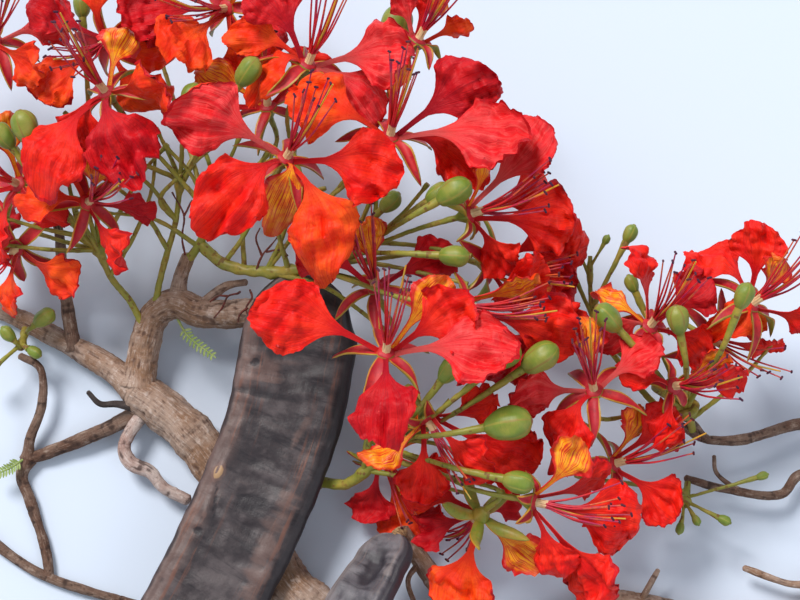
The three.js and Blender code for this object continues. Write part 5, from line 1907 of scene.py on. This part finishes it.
BLOOMS = [
    Bloom("west_0", (-203, 130, 72), (60, 50),
          [(95, 46, 20, 30), (15, 40, 10, 160), (150, 50, 10, 20), (215, 50, 0, 25), (320, 34, 25, 40)]),
    Bloom("west_1", (-147, 104, 96), (125, 45),
          [(75, 36, -20, 20), (238, 58, 14, 15), (293, 52, 22, 5), (352, 44, 35, 50), (262, 44, -22, 20)]),
    Bloom("west_2", (-147, 129, 78), (230, 55),
          [(90, 42, 5, 200), (214, 44, -6, 10), (310, 42, -18, 20), (10, 46, -21, 30), (150, 40, 8, 30)]),
    Bloom("west_3", (-156, 49, 74), (20, 60),
          [(60, 26, 37, 40), (352, 32, 5, 60), (297, 38, 20, 50), (180, 34, -5, 30), (120, 34, 29, 30)]),
    Bloom("west_4", (-191, 58, 60), (150, 58),
          [(100, 34, 15, 20), (200, 38, 5, 10), (255, 38, 5, 45), (318, 30, 6, 40), (25, 32, -5, 30)]),
    Bloom("west_5", (-192, 26, 44), (240, 60),
          [(185, 34, 0, 20), (262, 32, 12, 40), (330, 36, 6, 45), (110, 34, -41, 30)], free=(0, 1, 0)),
    Bloom("top_0", (-87, 146, 78), (200, 55),
          [(30, 40, 0, 30), (186, 54, 26, 10), (224, 48, 45, 15), (300, 42, -18, 20), (98, 52, -5, 20)]),
    Bloom("top_1", (-46, 118, 104), (65, 40),
          [(160, 42, -12, 170), (120, 46, 8, 5), (4, 50, 12, 165), (322, 42, -5, 160), (210, 36, -20, 30)]),
    Bloom("top_2", (-57, 71, 108), (55, 45),
          [(253, 40, -25, 10), (157, 58, 14, 165), (221, 54, 14, 5), (351, 54, 14, 10), (287, 60, 6, 15)]),
    Bloom("top_3", (-5, 82, 106), (75, 42),
          [(88, 46, -14, 15), (30, 56, 8, 5), (356, 66, 15, 160), (338, 50, -14, 15), (158, 50, 8, 20)]),
    Bloom("top_4", (-66, 97, 66), (100, 45),
          [(150, 38, 10, 20), (190, 40, 0, 10), (95, 42, 19, 20), (40, 38, -16, 30)], free=(1, 1, 0)),
    Bloom("top_5", (9, 130, 88), (60, 30),
          [(60, 26, 10, 60), (110, 24, 15, 200), (20, 26, 5, 50), (80, 28, -10, 30)], star=0.62),
    Bloom("centre_1", (35, 43, 96), (15, 25),
          [(75, 34, 16, 50), (50, 56, 8, 165), (356, 50, 6, 20), (20, 48, -22, 30), (300, 34, -21, 40)],
          star=0.62),
    Bloom("centre_2", (-7, -26, 104), (82, 45),
          [(50, 44, 8, 10), (162, 64, 4, 5), (30, 46, 16, 5), (0, 62, 21, 165), (268, 48, 38, 10)]),
    Bloom("centre_3", (45, 17, 68), (345, 25),
          [(330, 34, 20, 40), (28, 48, 16, 15), (6, 50, -6, 30), (340, 46, -12, 20), (300, 30, -28, 40)]),
    Bloom("centre_4", (31, -3, 98), (352, 20),
          [(15, 38, 10, 45), (346, 58, 7, 5), (312, 46, -8, 15), (20, 46, -11, 30), (285, 38, -26, 30)],
          star=0.62),
    Bloom("centre_5", (-12, 6, 70), (110, 40),
          [(100, 36, 23, 20), (145, 44, -10, 15), (20, 42, -6, 30)]),
    Bloom("low_1", (67, -101, 84), (350, 20),
          [(52, 36, 14, 25), (349, 50, 12, 5), (16, 40, -10, 50), (285, 38, -6, 35), (303, 60, -5, 50)],
          star=0.3),
    Bloom("low_2", (40, -108, 58), (235, -50),
          [(320, 40, -14, 20), (256, 50, -12, 10), (150, 44, -30, 15), (200, 36, -30, 30),
           (20, 30, -40, 30)]),
    Bloom("low_3", (-8, -78, 24), (300, 20),
          [(60, 30, 8, 40), (290, 46, -1, 10), (255, 34, 0, 30), (340, 32, 4, 40)],
          star=0.8, free=(1, 1, 0)),
    Bloom("low_4", (14, -60, 76), (300, 20),
          [(215, 34, 0, 40), (312, 42, 28, 40), (340, 56, 2, 30), (265, 40, -3, 20), (20, 34, 17, 50)],
          star=0.3, free=(1, 0, 1)),
    Bloom("east_0", (97, -45, 82), (108, 50),
          [(96, 34, -6, 30), (112, 44, -8, 50), (186, 38, 0, 150), (250, 42, -11, 30), (35, 36, 5, 150)]),
    Bloom("east_1", (125, -13, 74), (60, 50),
          [(150, 30, -1, 40), (98, 38, -6, 60), (40, 36, 16, 20), (205, 30, -22, 150), (330, 32, -16, 30)],
          star=0.45),
    Bloom("east_2", (176, -2, 78), (40, 40),
          [(50, 26, 20, 50), (86, 38, 10, 5), (137, 38, -17, 40), (340, 34, 5, 60), (220, 28, -28, 30)]),
    Bloom("east_3", (156, -20, 54), (330, 40),
          [(20, 28, 0, 50), (350, 34, 8, 60), (300, 26, -10, 50), (250, 26, -33, 30)], free=(1, 1, 0)),
    Bloom("east_4", (137, -43, 74), (10, 60),
          [(30, 28, 1, 40), (8, 34, 6, 60), (165, 28, 6, 40), (250, 28, 5, 60)], star=0.45),
    Bloom("east_5", (107, -82, 48), (20, 30),
          [(60, 30, 14, 40), (38, 40, 10, 30), (322, 38, 8, 20), (250, 32, -5, 40)]),
]

LEAVES = [
    YoungLeaf("young_leaf_bough", 5, [(-112, -8, 22), (-106, -18, 26), (-92, -29, 27)]),
    YoungLeaf("young_leaf_twig", 5, [(-186, -78, 5), (-195, -84, 12), (-204, -88, 13)]),
]

# How likely a petal takes the orange tone, partly painted sunlight, by cluster.
ORANGE_SHARES = {"west": 0.36, "top": 0.3, "centre": 0.0, "low": 0.14, "east": 0.08}

# Where each kind's random draws start.
LIMB_SEED = 100
DRIED_SEED = 40
POD_SEED = 3000
STALK_SEED = 4000
BLOOM_SEED = 5000
LEAF_SEED = 6000

DRIED_STALKS = DriedStalks("upper_bough", [
    [(-75, 5, 31), (-74, 1, 36), (-77, -4, 38), (-76, -9, 38), (-78, -13, 37)],
    [(-76, -4, 38), (-80, -7, 39), (-81, -11, 38)],
    [(-80, 4, 31), (-82, 3, 36), (-86, 2, 37), (-89, -4, 35), (-93, -9, 33)],
    [(-86, 2, 37), (-91, 2, 37), (-95, -1, 35)],
    [(-107, 20, 33), (-109, 32, 43), (-108, 42, 49), (-114, 54, 53)],
    [(-108, 42, 49), (-104, 50, 54)],
    [(-72, 14, 46), (-69, 22, 51), (-64, 28, 55), (-60, 33, 57)],
    [(-69, 22, 51), (-72, 31, 55), (-70, 36, 57)],
    [(-67, 24, 52), (-59, 25, 55), (-56, 22, 56)],
])


@dataclass(frozen=True)
class Cluster:
    """The blooms whose like parts are joined, each kind apart.

    Attributes:
        name: Where they grow.
        orange: How likely a petal's tone is the orange one.
    """

    name: str
    orange: float

    def build(self, blooms: list[Bloom], seed: int) -> list[Piece]:
        """Build the blooms.

        Args:
            blooms: Those of this cluster.
            seed: Names their folds.

        Returns:
            Their pieces: calyces, petals and stamens.
        """
        rng = np.random.default_rng(seed)
        calyces, petals, stamens = Sheaf(), Sheaf(), Sheaf()
        for bloom in blooms:
            bloom.add_calyx(calyces, rng)
            bloom.add_petals(petals, rng, self.orange)
            bloom.add_stamens(stamens, rng)
        nodes = [f"bloom_{bloom.name}" for bloom in blooms]
        skins = [SEPAL_FACE, SEPAL_EDGE, SEPAL_BACK]
        faces = [SCARLET, ORANGE, CRIMSON, ROSE, MARKED]
        threads = [COLUMN, THREAD, THREAD_TIP, ANTHER, STYLE]
        return [calyces.piece(f"{self.name}_calyces", skins, "petal", nodes),
                petals.piece(f"{self.name}_petals", faces, "petal", nodes),
                stamens.piece(f"{self.name}_stamens", threads, "petal", nodes)]


@dataclass(frozen=True)
class Studio:
    """The pale floor, the soft lights, the even sky and the camera above.

    Attributes:
        key: Strength of the main light, in watts on a square metre.
        fill: Strength of the light on the other side.
        sky: How bright the sky is.
        reach: Of the floor from its middle, in metres.
        below: How far the floor lies under the branch, in metres.
        sensor: Width of the camera's sensor, in millimetres.
    """

    key: float = 3.2
    fill: float = 0.5
    sky: float = 0.55
    reach: float = 30.0
    below: float = 0.1 * MM
    sensor: float = 36.0

    def lamp(self, name: str, place: tuple[float, float, float], strength: float, width: float,
             tint: tuple[float, float, float]) -> None:
        """Add a wide, far light that falls alike on the whole floor.

        Args:
            name: Its name.
            place: A place that its light passes on its way to the branch.
            strength: In watts on a square metre.
            width: How wide it looks from the branch, in degrees.
            tint: Its colour.
        """
        data = bpy.data.lights.new(name, "SUN")
        data.energy, data.angle, data.color = strength, width * DEGREE, tint
        lamp = bpy.data.objects.new(name, data)
        lamp.location = place
        lamp.rotation_euler = (-Vector(place)).to_track_quat("-Z", "Y").to_euler()
        bpy.context.scene.collection.objects.link(lamp)

    def build(self) -> None:
        """Set up the studio."""
        scene = bpy.context.scene
        mesh = bpy.data.meshes.new("floor")
        corners = [(-1, -1), (1, -1), (1, 1), (-1, 1)]
        points = [(x * self.reach, y * self.reach, -self.below) for x, y in corners]
        mesh.from_pydata(points, [], [(0, 1, 2, 3)])
        floor = bpy.data.objects.new("floor", mesh)
        mesh.materials.append(FLOOR.material())
        scene.collection.objects.link(floor)
        self.lamp("key_light", (-0.75, 0.95, 1.5), self.key, 21.0, (1.0, 0.985, 0.96))
        self.lamp("fill_light", (1.1, -0.7, 1.2), self.fill, 37.0, (0.9, 0.95, 1.0))
        world = bpy.data.worlds.new("even_sky")
        world.use_nodes = True
        background = world.node_tree.nodes["Background"]
        background.inputs["Color"].default_value = (0.86, 0.93, 1.0, 1.0)
        background.inputs["Strength"].default_value = self.sky
        scene.world = world
        data = bpy.data.cameras.new("camera_above")
        data.sensor_width = self.sensor
        data.lens = self.sensor * SIGHT.distance / SIGHT.view_width
        data.clip_start = 0.05
        camera = bpy.data.objects.new("camera_above", data)
        axes = Matrix([SIGHT.right, SIGHT.up, SIGHT.to_eye]).transposed().to_4x4()
        camera.matrix_world = Matrix.Translation(Vector(SIGHT.eye)) @ axes
        scene.collection.objects.link(camera)
        scene.camera = camera
        scene.view_settings.view_transform = "Standard"


def main() -> None:
    """Build the branch in order: wood, pods, stalks, blooms and leaves, then the studio."""
    logging.basicConfig(level=logging.INFO, format="%(message)s")
    pieces = [limb.build(LIMB_SEED + 100 * i) for i, limb in enumerate(LIMBS)]
    pieces.append(DRIED_STALKS.build(DRIED_SEED))
    pieces += [pod.build(POD_SEED + 100 * i) for i, pod in enumerate(PODS)]
    blooms = {bloom.name: bloom for bloom in BLOOMS}
    for i, stalk in enumerate(STALKS):
        pieces += stalk.build(STALK_SEED + 100 * i, blooms)
    for i, (name, orange) in enumerate(ORANGE_SHARES.items()):
        group = [bloom for bloom in BLOOMS if bloom.name.startswith(name)]
        pieces += Cluster(f"{name}_blooms", orange).build(group, BLOOM_SEED + 7 * i)
    pieces += [leaf.build(LEAF_SEED + i) for i, leaf in enumerate(LEAVES)]
    for piece in pieces:
        log.info("built %s, %d faces", piece.name, len(piece.data.polygons))
    Studio().build()


if __name__ == "__main__":
    main()
